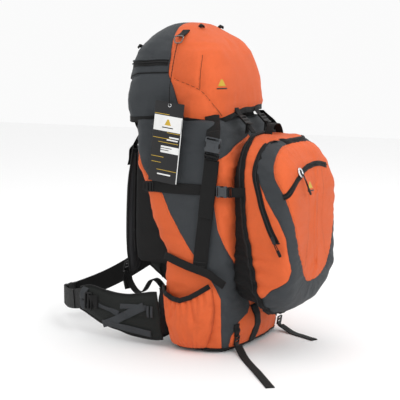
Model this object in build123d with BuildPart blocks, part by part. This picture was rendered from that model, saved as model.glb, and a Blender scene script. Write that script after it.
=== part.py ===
from build123d import *
from math import atan2, cos, radians, sin, tan
import os

# Hiking backpack. +Z is up, X is its width, -Y is its front (the daypack), +Y is the wearer's side.
# The origin is the middle of the base that it stands on. Left is the wearer's left, -X. Millimetres.

# ---- overall sizes ----
bag_width = 300.0
bag_front = 80.0  # from the origin forward to the bag's front face
bag_height = 540.0
lid_height = 232.0
daypack_width = 270.0
daypack_height = 432.0
daypack_depth = 158.0
pocket_depth = 38.0
belt_reach = 475.0  # from the origin back to the belt buckle

# ---- materials and clearances ----
cloth = 3.0
thin_cloth = 2.0
web = 1.6  # webbing thickness
gap = 0.4  # between soft neighbours
layer = web + gap  # one layer of webbing on a face
slide_gap = 0.9  # inside a buckle, all round
wide_web = 38.0
narrow_web = 25.0
small_web = 20.0
belt_web = 50.0

half_bag = bag_width / 2
SIDES = (("left", -1), ("right", 1))

# ---- the bag's side outline, y and z ----
base_thick = 3.0
bag_bottom = base_thick + gap
base_front = -bag_front + 12
base_rear = 66.0
lumbar_rear = 88.0
rear_top = 170.0
front_top = -bag_front + 35
bag_corner = 22.0
rear_line = [(rear_top - 2, bag_height - 100), (140, 368), (116, 300), (lumbar_rear, 233)]

# ---- the lid and its hinge ----
hinge_y = 189.0
hinge_z = bag_height - 36
lid_bottom = bag_height + gap
lid_top = lid_bottom + lid_height
half_lid = half_bag - 2.5
lid_front = -54.0
lid_rear = 204.5
crown_y = 93.5  # the highest line of the dome
skirt = 4.0
recess_height = 50.0
lid_zip_z = lid_bottom + 0.56 * lid_height
lid_slider_x = 90.0
flap_x = 119.0
front_strap_x = 48.0
# The dome's plan at rising heights, as shares of the height, of the half width, of the reach forward and back
# from crown_y, and the front and rear corner radii as shares of the plan's depth.
lid_rows = [
    (0.0, 1.0, 1.0, 1.0, 0.309, 0.162),
    (0.26, 1.0, 1.0, 1.0, 0.309, 0.162),
    (0.429, 0.973, 0.952, 0.964, 0.315, 0.17),
    (0.58, 0.932, 0.902, 0.928, 0.322, 0.182),
    (0.701, 0.871, 0.841, 0.883, 0.324, 0.207),
    (0.783, 0.797, 0.739, 0.802, 0.343, 0.252),
    (0.852, 0.708, 0.576, 0.685, 0.385, 0.323),
    (0.912, 0.593, 0.427, 0.54, 0.423, 0.374),
    (0.955, 0.485, 0.319, 0.414, 0.45, 0.41),
    (0.981, 0.363, 0.224, 0.288, 0.43, 0.43),
    (1.0, 0.203, 0.112, 0.149, 0.42, 0.42),
]

# ---- the snow collar inside the bag's mouth ----
collar_height = 36.0
collar_clear = 19.0  # between the lid's front and the collar
collar_side = 18.0
collar_front_corner = 60.0
collar_rear_corner = 20.0

# ---- the lash rings, the hang tag and its cord ----
ring_thick = 3.0
ring_width = 26.0
ring_height = 22.0
ring_bar = 5.0
ring_y = 62.0
ring_z = lid_bottom + 0.81 * lid_height
cord_radius = 1.0
tag_width = 78.0
tag_height = 188.0
tag_thick = 1.2
tag_tilt = 7.0  # degrees
tag_standoff = 19.0
eyelet_y = 56.0
eyelet_z = lid_bottom + 0.162 * lid_height
eyelet_radius = 2.6

# ---- the side pockets ----
pocket_low = 9.0
pocket_high = 140.0
pocket_front = -73.0
pocket_rear = 89.5

# ---- the daypack ----
daypack_rear = -bag_front - 2.0
daypack_front = daypack_rear - daypack_depth
daypack_low = 76.0
daypack_mid = daypack_low + daypack_height / 2
daypack_top = daypack_low + daypack_height
daypack_corner = 105.0
daypack_edge = 40.0
panel_thick = 2.0
panel_face = daypack_front - gap - panel_thick
zip_width = 10.0
zip_thick = 1.2
rim_zip_y = daypack_rear - 18
main_zip_y = -154.0
main_zip_low = 265.0
main_slider_z = 275.0
pocket_zip_start = (-80.0, 378.0)  # x, z
pocket_zip_end = (88.0, 418.0)
grommet = (-70.0, 428.0)  # x, z
grommet_bore = 6.0
grommet_tube = 8.0
grommet_flange = 12.0
handle_y = -118.0

# ---- side straps ----
strap_slant = 7.6  # degrees that the wide side strap leans forward
strap_foot_y = -12.0
strap_foot_z = 192.0
buckle_z = bag_height - 65
upper_strap_z = 384.0

# ---- side-release buckles: the male half enters along +Y of the buckle's own plane ----
buckle_wall = 2.2
arm_width = 5.0
wide_length = 34.0
wide_thick = 11.0
narrow_length = 24.0
narrow_thick = 8.0
compression_mouth = -bag_front - 6

# ---- harness and belt ----
harness_x = 80.0
harness_width = 70.0
pad_rear = 190.0  # the wearer's side of the back padding
pad_top = 470.0
pad_half = 120.0
pad_low = 195.0
lumbar_thick = 29.0
lumbar_height = 122.0
sleeve_front = 174.0
sleeve_rear = 184.0
haul_y = 179.0
sternum_y = 225.0
sternum_z = 340.0
# A shoulder strap's side outline, y and z: its outer face down, then its inner face up.
strap_outer = [(206, 468), (220, 380), (228, 280), (228, 215), (222, 160)]
strap_inner = [(214, 155), (204, 185), (198, 215), (195.5, 300), (192.5, 400), (190.8, 466)]
wing_inner = half_bag
wing_thick = 18.0
wing_root = 92.5
wing_tip = 325.0
right_wing_lift = 60.0  # the right wing's tip stands this much higher
belt_buckle_z = 58.0
belt_buckle_x = 8.0
belt_buckle_length = 34.0
belt_buckle_thick = 13.0
wing_middle = 92.0  # the height of the left wing's tip, at its middle
# A wing's side outline, y and z.
wing_outline = [
    (wing_root, 142), (136, 123), (225, 117), (296, 128), (wing_tip, 119),
    (wing_tip, 66), (249, 36), (171, 20), (wing_root, 13),
]

# ---- the loose strap ends: x and y of both ends, then distance along the floor and height ----
tail_root_y = -bag_front - 9.0
tail_left_start = (-102.0, tail_root_y)
tail_left_end = (-308.0, tail_root_y - 186)
tail_right_start = (125.0, tail_root_y)
tail_right_end = (80.0, tail_root_y - 110)
tail_left_route = [(0, 14), (20, 9.5), (52, 1.9), (110, 0.9), (185, 3.4), (281, 0.9)]
tail_right_route = [(0, 14), (18, 9), (45, 1.6), (83, 2.6), (124, 0.9)]
tail_slide_z = 27.0

def keep(name, *pieces):
    """Label a piece, or several separate solids as one node, and write the STEP file."""
    parts = [piece.part for piece in pieces]
    shape = parts[0] if len(parts) == 1 else Compound(children=parts)
    shape.label = name
    export_step(shape, f"parts/{name}.step")


def block(size, centre, mode=Mode.ADD):
    """A box by its size and centre in the active plane."""
    with Locations(centre):
        Box(*size, mode=mode)


def side_sheet(outline, near_x, far_x, mode=Mode.ADD):
    """A flat piece with a closed outline in y and z, between two values of x."""
    low, high = min(near_x, far_x), max(near_x, far_x)
    with BuildSketch(Plane.YZ.offset(low)) as profile:
        with BuildLine():
            Polyline(*outline, close=True)
        make_face()
    extrude(profile.sketch, amount=high - low, mode=mode)


def ribbon(points, width):
    """The outline of a strip of the given width along straight runs, mitred at the corners."""
    left, right = [], []
    for index, (here_u, here_v) in enumerate(points):
        before = points[max(index - 1, 0)]
        after = points[min(index + 1, len(points) - 1)]
        first = Vector(here_u - before[0], here_v - before[1]) if index else None
        second = Vector(after[0] - here_u, after[1] - here_v) if index < len(points) - 1 else None
        first = (first or second).normalized()
        second = (second or first).normalized()
        middle = (first + second).normalized()
        reach = width / 2 / max(middle.dot(first), 0.5)
        left.append((here_u - middle.Y * reach, here_v + middle.X * reach))
        right.append((here_u + middle.Y * reach, here_v - middle.X * reach))
    return left + right[::-1]


def face_x(sign, layers):
    """The x of a layer of webbing, counted outwards from the bag's side."""
    return sign * (half_bag + gap + layers * layer)


def side_plane(sign, layers, y, z, slant=0.0):
    """A plane on the bag's side: its Y runs up, or forward-up by slant degrees, and its Z outwards."""
    lean = radians(slant)
    across = (0, sign * cos(lean), sign * sin(lean))
    return Plane(origin=(face_x(sign, layers), y, z), x_dir=across, z_dir=(sign, 0, 0))


def rounded_slab(width, depth, corner, centre_y, bottom, height, mode=Mode.ADD):
    """An upright block with rounded corners in plan."""
    with BuildSketch(Plane.XY.offset(bottom)) as plan:
        with Locations((0, centre_y)):
            RectangleRounded(width, depth, corner)
    extrude(plan.sketch, amount=height, mode=mode)


# ================= buckles and ladder locks =================
def buckle_female(plane, strap_width, length, thick):
    """The half with the mouth at y = 0 and its strap bar at the far end."""
    width = strap_width + 4
    mouth = length * 0.66
    with BuildPart(plane) as half:
        block((width, length, thick), (0, length / 2, thick / 2))
        hollow = (width - 2 * buckle_wall, mouth, thick - 2 * buckle_wall)
        block(hollow, (0, mouth / 2, thick / 2), Mode.SUBTRACT)
        block((strap_width + 1, 3, thick + 2), (0, length - 4.5, thick / 2), Mode.SUBTRACT)
    return half


def buckle_male(plane, strap_width, length, thick):
    """The half with two arms and a guide, which fit the other half's mouth with slide_gap all round."""
    width = strap_width + 4
    foot = length * 0.4
    reach = length * 0.66 - slide_gap
    room = width - 2 * buckle_wall - 2 * slide_gap
    arm_thick = thick - 2 * buckle_wall - 2 * slide_gap
    with BuildPart(plane) as half:
        block((width, foot, thick), (0, -gap - foot / 2, thick / 2))
        block((strap_width + 1, 3, thick + 2), (0, -gap - foot + 4, thick / 2), Mode.SUBTRACT)
        for place in (-1, 0, 1):
            centre = (place * (room - arm_width) / 2, (reach - gap - 1) / 2, thick / 2)
            block((arm_width, reach + gap + 1, arm_thick), centre)
    return half


def ladder_lock(plane, strap_width):
    """A plastic frame with two slots, standing on its plane."""
    with BuildPart(plane) as lock:
        block((strap_width + 6, 22, 5), (0, 0, 2.5))
        for place in (-5, 5):
            block((strap_width + 1, 4, 7), (0, place, 2.5), Mode.SUBTRACT)
    return lock


# ================= the bag =================
def bag_outline(rise):
    """The side outline, with its open top carried on by rise."""
    lean = (front_top + bag_front) / 100
    return [
        (base_front, bag_bottom),
        (-bag_front, bag_bottom + 12),
        (-bag_front, bag_height - 100),
        (front_top + rise * lean, bag_height + rise),
        (rear_top, bag_height + rise),
        *rear_line,
        (lumbar_rear, 60),
        (base_rear, bag_bottom),
    ]


def bag_block(inset, rise):
    """The bag's outer or inner shape: the side outline trimmed by the rounded plan."""
    plan_depth = rear_top + bag_front
    with BuildPart() as shape:
        with BuildSketch(Plane.YZ.offset(inset - half_bag)):
            with BuildLine():
                Polyline(*bag_outline(rise), close=True)
            make_face()
            if inset:
                offset(amount=-inset)
        extrude(amount=bag_width - 2 * inset)
        with BuildSketch():
            with Locations((0, (rear_top - bag_front) / 2)):
                RectangleRounded(bag_width - 2 * inset, plan_depth - 2 * inset, bag_corner - inset)
        extrude(amount=bag_height + rise + 1, mode=Mode.INTERSECT)
    return shape.part


def make_bag():
    outside = bag_block(0, 0)
    inside = bag_block(cloth, 20)
    with BuildPart() as main_bag:
        add(outside)
        add(inside, mode=Mode.SUBTRACT)
    keep("main_bag", main_bag)

    with BuildPart() as base_panel:
        depth = base_rear - base_front
        rounded_slab(bag_width - 28, depth, 20, (base_rear + base_front) / 2, 0, base_thick)
    keep("base_panel", base_panel)

    # The collar stands inside the bag's mouth and inside the lid's skirt, clear of the lid as it swings up.
    with BuildPart() as snow_collar:
        low = bag_height - 40
        rise = collar_height + bag_height - low
        extrude(Plane.XY.offset(low) * collar_plan(0), amount=rise)
        extrude(Plane.XY.offset(low - 1) * collar_plan(thin_cloth), amount=rise + 2, mode=Mode.SUBTRACT)
    keep("snow_collar", snow_collar)


def collar_plan(inset):
    """The collar's plan as a sketch, with the lid's wide front rounding."""
    front = lid_front + skirt + collar_clear + inset
    rear = rear_top - cloth - 7 - inset
    with BuildSketch() as plan:
        with Locations((0, (front + rear) / 2)):
            Rectangle(bag_width - 2 * (collar_side + inset), rear - front)
        fillet(plan.vertices().group_by(Axis.Y)[0], collar_front_corner - inset)
        fillet(plan.vertices().group_by(Axis.Y)[-1], collar_rear_corner - inset)
    return plan.sketch


def pocket_plan(sign, grow):
    """The bulging plan of a side pocket as points, grown outwards by grow."""
    near = sign * (half_bag + gap)
    outer = sign * (half_bag + pocket_depth + grow)
    shoulder = sign * (half_bag + pocket_depth - 10 + grow)
    front, rear = pocket_front - grow, pocket_rear + grow
    bulge = [(shoulder, front + 8), (outer, -30), (outer, 50), (shoulder, rear - 7)]
    return [(near, front), *bulge, (near, rear)]


def make_pockets():
    bindings = []
    for side, sign in SIDES:
        with BuildPart() as pocket:
            with BuildSketch(Plane.XY.offset(pocket_low)):
                with BuildLine():
                    Polyline(*pocket_plan(sign, 0), close=True)
                make_face()
            extrude(amount=pocket_high - pocket_low)
            with BuildSketch(Plane.XY.offset(pocket_low + thin_cloth)):
                with BuildLine():
                    Polyline(*pocket_plan(sign, 0), close=True)
                make_face()
                offset(amount=-thin_cloth)
            extrude(amount=pocket_high, mode=Mode.SUBTRACT)
        keep(f"side_pocket_{side}", pocket)
        with BuildPart() as binding:
            with BuildSketch(Plane.XY.offset(pocket_high - 9)):
                with BuildLine():
                    Polyline(*pocket_plan(sign, 1.6), close=True)
                make_face()
                with BuildLine():
                    Polyline(*pocket_plan(sign, gap), close=True)
                make_face(mode=Mode.SUBTRACT)
            extrude(amount=9)
        bindings.append(binding)
    keep("pocket_bindings", *bindings)


# ================= frame, padding and harness =================
def make_frame():
    with BuildPart() as back_panel:
        rear = [(pad_rear - 4, pad_top), (pad_rear, 400), (194, 300), (196, 240), (pad_rear, pad_low + 17)]
        front = [(y + gap, z) for y, z in rear_line[::-1]]
        outline = [(rear_top + gap, pad_top), *rear, (lumbar_rear + gap, pad_low), *front]
        side_sheet(outline, -pad_half, pad_half)
        sleeve = (210, sleeve_rear - sleeve_front, pad_top - 214)
        block(sleeve, (0, (sleeve_front + sleeve_rear) / 2, (pad_top + 214) / 2 + 1), Mode.SUBTRACT)
    keep("back_panel", back_panel)

    stays = []
    for _, sign in SIDES:
        with BuildPart() as stay:
            block((25, 3, 248), (sign * 60, sleeve_front + 2, 342))
            fillet(stay.edges().filter_by(Axis.Y), 8)
        stays.append(stay)
    keep("frame_stays", *stays)

    with BuildPart() as frame_sheet:
        block((200, 1.5, 244), (0, sleeve_front + 5.5, 342))
        fillet(frame_sheet.edges().filter_by(Axis.Y), 25)
    keep("frame_sheet", frame_sheet)

    with BuildPart() as lumbar_pad:
        centre_y = lumbar_rear + gap + lumbar_thick / 2
        block((2 * wing_inner - 3, lumbar_thick, lumbar_height), (0, centre_y, 79))
        fillet(lumbar_pad.edges().filter_by(Axis.X), 9)
    keep("lumbar_pad", lumbar_pad)


def make_harness():
    lifters, locks = [], []
    for side, sign in SIDES:
        middle = sign * harness_x
        with BuildPart() as strap:
            reach = harness_width / 2
            side_sheet(strap_outer + strap_inner, middle - reach, middle + reach)
        keep(f"shoulder_strap_{side}", strap)

        with BuildPart() as lifter:
            route = [(rear_top + 2, bag_height - 18), (198, 495), (211.5, 474)]
            side_sheet(ribbon(route, web), middle - small_web / 2, middle + small_web / 2)
        lifters.append(lifter)
        lean = (0, 0.99, 0.144)
        top = Plane(origin=(middle, 209.6, 459), x_dir=(1, 0, 0), z_dir=lean)
        locks.append(ladder_lock(top, small_web))

        # Lower webbing: out of the lock behind the strap's tip, a hanging loop, then the lumbar pad.
        with BuildPart() as lower:
            loop = [(236, 158), (228, 128), (208, 106), (188, 111), (166, 141), (148, 142), (119.5, 112)]
            side_sheet(ribbon(loop, web), middle - narrow_web / 2, middle + narrow_web / 2)
        keep(f"shoulder_webbing_{side}", lower)
        tip = Plane(origin=(middle, 243, 172), x_dir=(1, 0, 0), z_dir=(0, 0.9, 0.44))
        locks.append(ladder_lock(tip, narrow_web))
        locks.append(ladder_lock(side_plane(sign, 1, 124, upper_strap_z, -90), narrow_web))
    keep("load_lifters", *lifters)
    return locks


def make_haul_loop():
    """A webbing loop standing on the back padding's top edge."""
    loop_half, loop_rise, thick = 38.0, 28.0, 4.0
    low = pad_top + 3
    with BuildPart() as loop:
        with BuildSketch(Plane.XZ.offset(-haul_y - thick / 2)):
            with Locations((0, low + loop_rise / 2)):
                RectangleRounded(2 * loop_half, loop_rise, 9)
                RectangleRounded(2 * loop_half - 14, loop_rise - 14, 5, mode=Mode.SUBTRACT)
        extrude(amount=thick)
    keep("haul_loop", loop)


def make_sternum():
    """The sternum strap across both shoulder straps, with its own small buckle."""
    buckle_length, buckle_thick = 20.0, 7.0
    back = sternum_y + web
    with BuildPart() as strap:
        for sign in (-1, 1):
            near, far = 14.0, harness_x + 12
            block((far - near, web, small_web), (sign * (near + far) / 2, sternum_y + web / 2, sternum_z))
    keep("sternum_strap", strap)
    across = Plane(origin=(4, back + gap + buckle_thick, sternum_z), x_dir=(0, 0, 1), z_dir=(0, -1, 0))
    female = buckle_female(across, small_web, buckle_length, buckle_thick)
    male = buckle_male(across, small_web, buckle_length, buckle_thick)
    keep("sternum_buckle", female, male)


# ================= straps on the bag =================
def strap_y(z):
    """The middle of the wide side strap at a height."""
    return strap_foot_y - (z - strap_foot_z) * tan(radians(strap_slant))


def make_side_straps():
    males, females, uppers, small_females, small_males = [], [], [], [], []
    for side, sign in SIDES:
        with BuildPart() as webbing:
            top = buckle_z - wide_length * 0.4 - 3
            strip = ribbon([(strap_y(strap_foot_z), strap_foot_z), (strap_y(top), top)], wide_web)
            side_sheet(strip, face_x(sign, 1), face_x(sign, 1) + sign * web)
        keep(f"lid_webbing_{side}", webbing)

        mouth = side_plane(sign, 1, strap_y(buckle_z), buckle_z, strap_slant)
        males.append(buckle_male(mouth, wide_web, wide_length, wide_thick))
        females.append(buckle_female(mouth, wide_web, wide_length, wide_thick))
        with BuildPart() as upper:
            low, high = buckle_z + wide_length + 1, lid_bottom + 12
            strip = ribbon([(strap_y(low), low), (strap_y(high), high)], wide_web)
            side_sheet(strip, face_x(sign, 1), face_x(sign, 1) + sign * web)
        uppers.append(upper)

        mouth = side_plane(sign, 0, compression_mouth, upper_strap_z, -90)
        small_males.append(buckle_male(mouth, narrow_web, narrow_length, narrow_thick))
        small_females.append(buckle_female(mouth, narrow_web, narrow_length, narrow_thick))
        with BuildPart() as upper_strap:
            front = compression_mouth + narrow_length + 1
            strip = ribbon([(136, upper_strap_z), (front, upper_strap_z)], narrow_web)
            side_sheet(strip, face_x(sign, 0), face_x(sign, 0) + sign * web)
        keep(f"compression_strap_{side}", upper_strap)

        with BuildPart() as lower_strap:
            route = [(78, 222), (-37, 190), (-bag_front + 1, 165)]
            side_sheet(ribbon(route, small_web), face_x(sign, 2), face_x(sign, 2) + sign * web)
        keep(f"lower_strap_{side}", lower_strap)
    keep("lid_buckle_males", *males)
    keep("lid_buckle_females", *females)
    keep("lid_webbing_upper", *uppers)
    keep("compression_females", *small_females)
    keep("compression_males", *small_males, *daypack_tabs())


def daypack_tabs():
    """Short webbing from the compression buckles' male halves to the daypack's sides."""
    tabs = []
    for _, sign in SIDES:
        with BuildPart() as tab:
            foot = compression_mouth - narrow_length * 0.4 - 1.5
            start = (sign * (half_bag + gap + narrow_thick / 2), foot)
            end = (sign * (daypack_width / 2 + 2.6), start[1] - 14)
            with BuildSketch(Plane.XY.offset(upper_strap_z - narrow_web / 2)):
                with BuildLine():
                    Polyline(*ribbon([start, end], web), close=True)
                make_face()
            extrude(amount=narrow_web)
        tabs.append(tab)
    return tabs


def corner_radii(points):
    """The largest arcs that a route's runs allow, one for each corner."""
    radii = []
    for before, here, after in zip(points, points[1:], points[2:]):
        first, second = Vector(*here) - Vector(*before), Vector(*after) - Vector(*here)
        turn = radians(first.get_angle(second))
        radii.append(0.45 * min(first.length, second.length) / tan(turn / 2))
    return radii


def make_tail(name, start, end, route):
    """A flat strap end in an upright plane, lying along the floor."""
    across = Vector(end[0] - start[0], end[1] - start[1], 0).normalized()
    normal = across.cross(Vector(0, 0, 1))
    plane = Plane(origin=(start[0], start[1], 0), x_dir=across, z_dir=normal)
    radii = corner_radii(route)
    with BuildPart() as tail:
        with BuildSketch(plane.offset(-small_web / 2)):
            with BuildLine():
                line = FilletPolyline(*route, radius=radii)
            trace(line, line_width=web)
        extrude(amount=small_web)
    keep(name, tail)


def make_base_straps(locks):
    with BuildPart() as base_strap:
        low, high = bag_bottom + 13, daypack_low - 4
        block((wide_web, web, high - low), (-29, -bag_front - gap - web / 2, (low + high) / 2))
    with BuildPart() as base_tab:
        block((small_web, web, 34), (tail_right_start[0], -bag_front - gap - web / 2, 40))
    keep("base_webbing", base_strap, base_tab)
    for start in (tail_left_start, tail_right_start):
        foot = (start[0], -bag_front - gap - layer, tail_slide_z)
        front = Plane(origin=foot, x_dir=(1, 0, 0), z_dir=(0, -1, 0))
        locks.append(ladder_lock(front, small_web))
    keep("ladder_locks", *locks)
    make_tail("strap_tail_left", tail_left_start, tail_left_end, tail_left_route)
    make_tail("strap_tail_right", tail_right_start, tail_right_end, tail_right_route)


# ================= the lid =================
def lid_row(z):
    """The dome's proportions at a height, between the two rows of the table beside it."""
    share = (z - lid_bottom) / lid_height
    for low, high in zip(lid_rows, lid_rows[1:]):
        if low[0] <= share <= high[0]:
            part = (share - low[0]) / (high[0] - low[0])
            return [start + (end - start) * part for start, end in zip(low, high)]
    raise ValueError("the height is outside the lid")


def lid_edges(row):
    """Half width, front y and rear y of the lid's plan in a row."""
    wide, front, rear = row[1:4]
    return half_lid * wide, crown_y - (crown_y - lid_front) * front, crown_y + (lid_rear - crown_y) * rear


def lid_plan(row, inset):
    """The lid's plan in a row as a sketch: a wide front rounding and tighter rear corners."""
    half, front, rear = lid_edges(row)
    depth = rear - front
    with BuildSketch() as plan:
        with Locations((0, (front + rear) / 2)):
            Rectangle(2 * (half - inset), depth - 2 * inset)
        fillet(plan.vertices().group_by(Axis.Y)[0], row[4] * depth - inset)
        fillet(plan.vertices().group_by(Axis.Y)[-1], row[5] * depth - inset)
    return plan.sketch


def lid_prism(row, inset, bottom, height):
    """The lid's plan in a row as an upright solid."""
    return extrude(Plane.XY.offset(bottom) * lid_plan(row, inset), height)


def lid_dome(inset, bottom, drop):
    """The lid's outer or inner shape from a height up, drawn in by inset and lowered by drop."""
    sections = [Plane.XY.offset(bottom) * lid_plan(lid_rows[0], inset)]
    for row in lid_rows[1:]:
        height = lid_bottom + row[0] * lid_height - drop
        sections.append(Plane.XY.offset(height) * lid_plan(row, inset))
    return loft(sections, ruled=True)


def make_lid():
    base = lid_rows[0]
    with BuildPart() as lid_shell:
        add(lid_dome(0, lid_bottom, 0))
        add(lid_prism(base, skirt, lid_bottom - 1, recess_height + 1), mode=Mode.SUBTRACT)
        add(lid_dome(cloth, lid_bottom + recess_height + cloth, cloth + gap), mode=Mode.SUBTRACT)
    keep("lid_shell", lid_shell)

    with BuildPart() as lid_binding:
        add(lid_prism(base, -1.5, lid_bottom + 1, 9))
        add(lid_prism(base, -gap / 4, lid_bottom, 12), mode=Mode.SUBTRACT)
    keep("lid_binding", lid_binding)

    with BuildPart() as lid_zip:
        row = lid_row(lid_zip_z)
        add(lid_prism(row, -zip_thick - gap / 4, lid_zip_z, zip_width))
        add(lid_prism(row, -gap / 4, lid_zip_z - 1, zip_width + 2), mode=Mode.SUBTRACT)
        block((2 * bag_width, 200, 40), (0, 76 - 100, lid_zip_z), Mode.SUBTRACT)
    keep("lid_zip", lid_zip)

    flaps, fronts = [], []
    for _, sign in SIDES:
        with BuildPart() as flap:
            low, high = hinge_z + 3, lid_bottom + recess_height - gap / 4
            block((narrow_web, web, high - low), (sign * flap_x, hinge_y, (low + high) / 2))
        flaps.append(flap)
        with BuildPart() as front:
            upper = [(lid_front - 1.2, lid_bottom + 42), (lid_front - 1.8, lid_bottom + 16)]
            route = [*upper, (-bag_front - 18, daypack_top + 5)]
            middle = sign * front_strap_x
            side_sheet(ribbon(route, web), middle - small_web / 2, middle + small_web / 2)
        fronts.append(front)
    keep("lid_flaps", *flaps)
    keep("front_lid_straps", *fronts)


def ring_x():
    """The distance of a lash ring's middle from the pack's middle: its foot stands on the dome's side."""
    return lid_edges(lid_row(ring_z - ring_height / 2))[0] + ring_thick / 2


def make_rings():
    rings = []
    for _, sign in SIDES:
        with BuildPart() as ring:
            centre = (sign * ring_x(), ring_y, ring_z)
            block((ring_thick, ring_width, ring_height), centre)
            hole = (ring_thick + 2, ring_width - 2 * ring_bar, ring_height - 2 * ring_bar)
            block(hole, centre, Mode.SUBTRACT)
        rings.append(ring)
    keep("lash_rings", *rings)


def tag_route():
    """The tag's cord from the left ring, past the lid's widest part, to the eyelet."""
    start = -ring_x() - ring_thick / 2 - cord_radius - 0.2
    return [
        (start, ring_y, lid_bottom + 0.772 * lid_height),
        (-half_bag + 13, 61, lid_bottom + 0.675 * lid_height),
        (-half_bag + 0.5, 59.5, lid_bottom + 0.546 * lid_height),
        (-half_bag - 11.5, 58, lid_bottom + 0.416 * lid_height),
        (-half_bag - 20.5, 57, lid_bottom + 0.291 * lid_height),
        (-half_bag - 20.4, eyelet_y, eyelet_z + cord_radius),
    ]


def make_tag():
    lean = radians(tag_tilt)
    with BuildPart() as hang_tag:
        across = (0, cos(lean), sin(lean))
        eyelet = (-half_bag - tag_standoff, eyelet_y, eyelet_z)
        with BuildSketch(Plane(origin=eyelet, x_dir=across, z_dir=(1, 0, 0))):
            with Locations((0, -tag_height / 2 + 7)):
                Rectangle(tag_width, tag_height)
            Circle(eyelet_radius, mode=Mode.SUBTRACT)
        extrude(amount=tag_thick)
    keep("hang_tag", hang_tag)
    route = tag_route()
    with BuildPart() as tag_cord:
        with BuildLine():
            path = FilletPolyline(*route, radius=corner_radii(route))
        with BuildSketch(Plane(origin=path @ 0, z_dir=path % 0)):
            Circle(cord_radius)
        sweep()
    keep("tag_cord", tag_cord)


def make_lid_slider():
    rear = lid_edges(lid_row(lid_zip_z))[2] + zip_thick + gap
    middle = lid_zip_z + zip_width / 2
    with BuildPart() as slider:
        block((11, 4, 8), (-lid_slider_x, rear + gap + 2, middle))
    keep("lid_zip_slider", slider)
    with BuildPart() as pull:
        block((7, 2, 34), (-lid_slider_x, rear + gap + 5.9, middle - 17))
        fillet(pull.edges().filter_by(Axis.Y), 2.5)
    keep("lid_zip_pull", pull)


# ================= the daypack =================
def daypack_block(inset, front, rear):
    """The daypack's rounded front outline, carried from one y to another."""
    with BuildPart() as shape:
        with BuildSketch(Plane.XZ.offset(-rear)):
            with Locations((0, daypack_mid)):
                size = (daypack_width - 2 * inset, daypack_height - 2 * inset)
                RectangleRounded(*size, daypack_corner - inset)
        extrude(amount=rear - front)
    return shape


def make_daypack():
    with BuildPart() as shell:
        add(daypack_block(0, daypack_front, daypack_rear).part)
        fillet(shell.faces().sort_by(Axis.Y)[0].edges(), daypack_edge)
        fillet(shell.faces().sort_by(Axis.Y)[-1].edges(), 8)
        with BuildPart(mode=Mode.PRIVATE) as hollow:
            add(daypack_block(cloth, daypack_front + cloth, daypack_rear - cloth).part)
            fillet(hollow.faces().sort_by(Axis.Y)[0].edges(), daypack_edge - cloth)
        add(hollow.part, mode=Mode.SUBTRACT)
        with Locations((grommet[0], daypack_front, grommet[1])):
            Cylinder(grommet_tube + gap, 30, rotation=(90, 0, 0), mode=Mode.SUBTRACT)
    keep("daypack_shell", shell)

    with BuildPart() as panel:
        with BuildSketch(Plane.XZ.offset(-panel_face)):
            with Locations((0, daypack_mid)):
                border = 2 * daypack_edge + 14
                RectangleRounded(daypack_width - border, daypack_height - border, 50)
            with Locations(grommet):
                Circle(grommet_tube + gap, mode=Mode.SUBTRACT)
        extrude(amount=-panel_thick)
    keep("daypack_panel", panel)

    zips = (("daypack_rim_zip", rim_zip_y, None), ("daypack_main_zip", main_zip_y, main_zip_low))
    for name, middle, low in zips:
        with BuildPart() as zip_band:
            front, rear = middle - zip_width / 2, middle + zip_width / 2
            add(daypack_block(-zip_thick - gap / 4, front, rear).part)
            add(daypack_block(-gap / 4, front - 1, rear + 1).part, mode=Mode.SUBTRACT)
            if low:
                block((2 * daypack_width, 60, low), (0, middle, low / 2), Mode.SUBTRACT)
        keep(name, zip_band)

    face = panel_face - gap / 4
    with BuildPart() as pocket_zip:
        with BuildSketch(Plane.XZ.offset(-face)):
            with BuildLine():
                Polyline(*ribbon([pocket_zip_start, pocket_zip_end], zip_width), close=True)
            make_face()
        extrude(amount=zip_thick)
    keep("pocket_zip", pocket_zip)

    with BuildPart() as cable_grommet:
        with BuildSketch(Plane.XZ.offset(-face)):
            with Locations(grommet):
                Circle(grommet_flange)
                Circle(grommet_bore, mode=Mode.SUBTRACT)
        extrude(amount=3)
        with BuildSketch(Plane.XZ.offset(-face)):
            with Locations(grommet):
                Circle(grommet_tube)
                Circle(grommet_bore, mode=Mode.SUBTRACT)
        extrude(amount=-9)
    keep("cable_grommet", cable_grommet)

    with BuildPart() as handle:
        rise = 26.0
        with BuildSketch(Plane.XZ.offset(-handle_y)):
            with Locations((0, daypack_top + gap + rise / 2)):
                RectangleRounded(64, rise, 9)
                RectangleRounded(56, rise - 8, 6, mode=Mode.SUBTRACT)
        extrude(amount=small_web)
    keep("daypack_handle", handle)


def make_daypack_sliders():
    run, rise = pocket_zip_end[0] - pocket_zip_start[0], pocket_zip_end[1] - pocket_zip_start[1]
    along = Vector(run, 0, rise).normalized()
    face = panel_face - gap / 4 - zip_thick - gap
    place = (pocket_zip_start[0] + along.X * 12, face, pocket_zip_start[1] + along.Z * 12)
    with BuildPart(Plane(origin=place, x_dir=along, z_dir=(0, -1, 0))) as slider:
        block((11, 8, 4), (0, 0, 2))
    keep("pocket_zip_slider", slider)
    with BuildPart() as pull:
        block((7, 2, 30), (place[0], face - 5.9, place[2] - 15))
        fillet(pull.edges().filter_by(Axis.Y), 2.5)
    keep("pocket_zip_pull", pull)

    side = -(daypack_width / 2 + zip_thick + gap)
    with BuildPart() as main_slider:
        block((4, 8, 11), (side - 2, main_zip_y, main_slider_z))
    keep("main_zip_slider", main_slider)
    with BuildPart() as main_pull:
        block((2, 7, 34), (side - 5.9, main_zip_y, main_slider_z - 17))
        fillet(main_pull.edges().filter_by(Axis.X), 2.5)
    keep("main_zip_pull", main_pull)


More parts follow.
